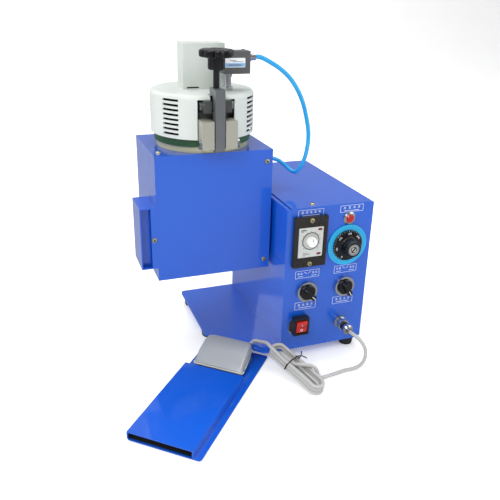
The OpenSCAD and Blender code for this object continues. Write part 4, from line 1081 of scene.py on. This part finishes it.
@dataclass
class FootSwitch(Trim):
    """Treadle of the foot switch."""

    def pedal(self) -> None:
        """Domed treadle with its worn rim, a painted highlight along its ridge, and rivet heads."""
        x0, x1, y0, y1 = 9.0, 82.0, -64.5, -17.5
        steps_long, steps_wide = 26, 28

        def shell(name: str, finish: Finish) -> bpy.types.Object:
            rows = []
            for i in range(steps_long + 1):
                f = i / steps_long
                y = y0 + (y1 - y0) * (0.5 - 0.5 * math.cos(math.pi * f) if f > 0.5 else f)
                g = (y - y0) / (y1 - y0)
                top = (9 + 23.2 * math.sin(min(1.0, g * 1.08) * math.pi / 2) ** 0.9
                       - 3.6 * max(0.0, (g - 0.8) / 0.2) ** 2.5)
                low = 4.2 + 14.5 * g if g > 0.1 else 4.6
                pinch = 5.2 * max(0.0, g - 0.3) ** 1.5 + 5.5 * max(0.0, (g - 0.72) / 0.28) ** 3
                a, b = x0 + pinch * 1.5, x1 - pinch * 0.55
                ring = []
                for j in range(steps_wide + 1):
                    u = j / steps_wide
                    if u < 0.12:
                        t = u / 0.12
                        x, z = a, low + (top - 3.5 - low) * t
                    elif u > 0.88:
                        t = (1 - u) / 0.12
                        x, z = b, low + (top - 3.5 - low) * t
                    else:
                        t = (u - 0.12) / 0.76
                        x = a + (b - a) * t
                        e = min(x - a, b - x)
                        fall = math.sqrt(max(0.0, 1 - (max(0.0, 4.5 - e) / 4.5) ** 2))
                        z = top - 3.5 + 3.5 * fall + 0.5 * math.sin(math.pi * t)
                    ring.append(tray(x, y, max(low, z)))
                rows.append(ring)
            front = [Vector((p.x, p.y, tray(0, 0, 4.6).z)) for p in rows[0]]
            back = [Vector((p.x, p.y, tray(0, 0, 19.0).z)) for p in rows[-1]]
            obj = Meshes.grid(name, np.array([front, *rows, back]), False, False)
            thick = obj.modifiers.new("skin", "SOLIDIFY")
            thick.thickness = 1.8 * MM
            thick.offset = -1
            return self.add(obj, finish, "pedal", 38)

        cover = shell("treadle_shell", PEDAL)
        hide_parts("pedal_treadle")
        rim = [(10.0, -19.4, 20), (9.6, -30, 17), (9.2, -45, 12), (9.0, -58, 8.4), (9.0, -64.3, 7.4),
               (20, -64.9, 7.4), (45, -64.9, 7.4), (70, -64.9, 7.4), (82.0, -64.4, 7.4), (82.2, -58, 7.4),
               (81.6, -45, 11), (80.4, -30, 16), (79.0, -19.4, 19.6)]
        # Cream tube along the top right edge: a painted highlight on the treadle's ridge.
        ridge = [(78.4, -60, 13.2), (78.0, -50, 20.6), (77.2, -38, 27.0), (76.2, -27, 30.9)]
        for name, line, radius, sides in (("treadle_rim", rim, 1.1, 10), ("treadle_ridge_highlight", ridge, 0.8, 8)):
            path = even(curve_points([tray(*p) for p in line], 6), 0.003)
            self.add(Meshes.tube(name, path, radius * MM, sides), PEDAL_RIM_AND_HIGHLIGHT, "pedal")
        for n, x in enumerate((8.7, 82.2)):
            outwards = (tray(1, 0, 0) - tray(0, 0, 0)) * (1 if n else -1)
            head = Meshes.lathe(f"treadle_pin_head_{n}", [(0, 0), (2.3, 0), (2.1, 0.7), (0, 1.0)],
                                tray(x, -57.5, 9.4), outwards, 24)
            self.add(head, STEEL, "pedal")


class Studio:
    """Camera, floor and soft light."""

    def __init__(self, paint: Materials) -> None:
        self.paint = paint

    def camera(self) -> None:
        """Set the camera low on the left front of the machine."""
        yaw, pitch, roll = (math.radians(v) for v in (20.74, 23.57, 1.55))
        fwd = Vector((math.sin(yaw) * math.cos(pitch), math.cos(yaw) * math.cos(pitch), -math.sin(pitch)))
        right = Vector((math.cos(yaw), -math.sin(yaw), 0))
        up = right.cross(fwd)
        r2 = right * math.cos(roll) + up * math.sin(roll)
        u2 = up * math.cos(roll) - right * math.sin(roll)
        data = bpy.data.cameras.new("camera")
        data.lens, data.sensor_width = 43.3, 36.0
        data.clip_start, data.clip_end = 0.01, 50.0
        cam = bpy.data.objects.new("camera", data)
        rot = Matrix((r2, u2, -fwd)).transposed()
        cam.matrix_world = Matrix.Translation(at(-308.3, -678.5, 480.2)) @ rot.to_4x4()
        bpy.context.scene.collection.objects.link(cam)
        bpy.context.scene.camera = cam

    def floor(self) -> None:
        """White sweep under and behind the object."""
        pts = []
        for x in np.linspace(-6, 6, 3):
            row = [(x, -4.0, 0.0), (x, 1.6, 0.0)]
            row += [(x, 1.6 + 1.2 * math.sin(t), 1.2 * (1 - math.cos(t)))
                    for t in np.linspace(0.2, np.pi / 2, 8)]
            row.append((x, 2.8, 5.0))
            pts.append(row)
        sweep = Meshes.grid("sweep_floor", np.array(pts), False, False)
        sweep.data.materials.append(self.paint.get(FLOOR))
        for poly in sweep.data.polygons:
            poly.use_smooth = True
        sweep.location.z = -0.0004

    def lights(self) -> None:
        """Large soft boxes and an even white surround."""
        for name, place, size, power, tone in (
            ("key_softbox", (-1.5, -1.6, 2.2), 1.6, 41.0, (1.0, 0.99, 0.97)),
            ("fill_softbox", (1.9, -1.4, 1.4), 1.8, 17.0, (0.96, 0.98, 1.0)),
            ("top_softbox", (0.1, 0.5, 2.6), 2.2, 33.0, (1.0, 1.0, 1.0)),
            ("back_softbox", (-1.2, 1.8, 1.8), 1.2, 12.0, (0.97, 0.98, 1.0)),
        ):
            data = bpy.data.lights.new(name, "AREA")
            data.size, data.energy, data.color = size, power, tone
            lamp = bpy.data.objects.new(name, data)
            lamp.location = place
            aim = (Vector((0, 0, 0.2)) - Vector(place)).to_track_quat("-Z", "Y")
            lamp.rotation_mode = "QUATERNION"
            lamp.rotation_quaternion = aim
            bpy.context.scene.collection.objects.link(lamp)
        world = bpy.data.worlds.new("white_surround")
        world.use_nodes = True
        nodes, links = world.node_tree.nodes, world.node_tree.links
        nodes["Background"].inputs["Color"].default_value = (1.0, 1.0, 1.0, 1.0)
        place = nodes.new("ShaderNodeTexCoord")
        split = nodes.new("ShaderNodeSeparateXYZ")
        fade = nodes.new("ShaderNodeMapRange")
        for field, value in (("From Min", -0.6), ("From Max", 0.7), ("To Min", 0.2), ("To Max", 1.25)):
            fade.inputs[field].default_value = value
        links.new(place.outputs["Generated"], split.inputs[0])
        links.new(split.outputs["Y"], fade.inputs["Value"])
        links.new(fade.outputs["Result"], nodes["Background"].inputs["Strength"])
        bpy.context.scene.world = world
        bpy.context.scene.view_settings.view_transform = "Standard"


def main() -> None:
    """Build the whole picture."""
    logging.basicConfig(level=logging.INFO)
    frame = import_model()
    paint = Materials()
    studio = Studio(paint)
    studio.camera()
    casing, cords, head, panel, foot = (region(frame["nodes"], paint) for region in
                                        (Casing, Cords, Head, ControlPanel, FootSwitch))
    for step in (casing.dress, cords.cords, head.star_knob, head.lid, casing.screws, panel.timer,
                 panel.thermostat, panel.selectors, panel.rocker, panel.plug, panel.labels, foot.pedal,
                 casing.box_seams, casing.channel_shade):
        step()
    studio.floor()
    studio.lights()


if __name__ == "__main__":
    main()
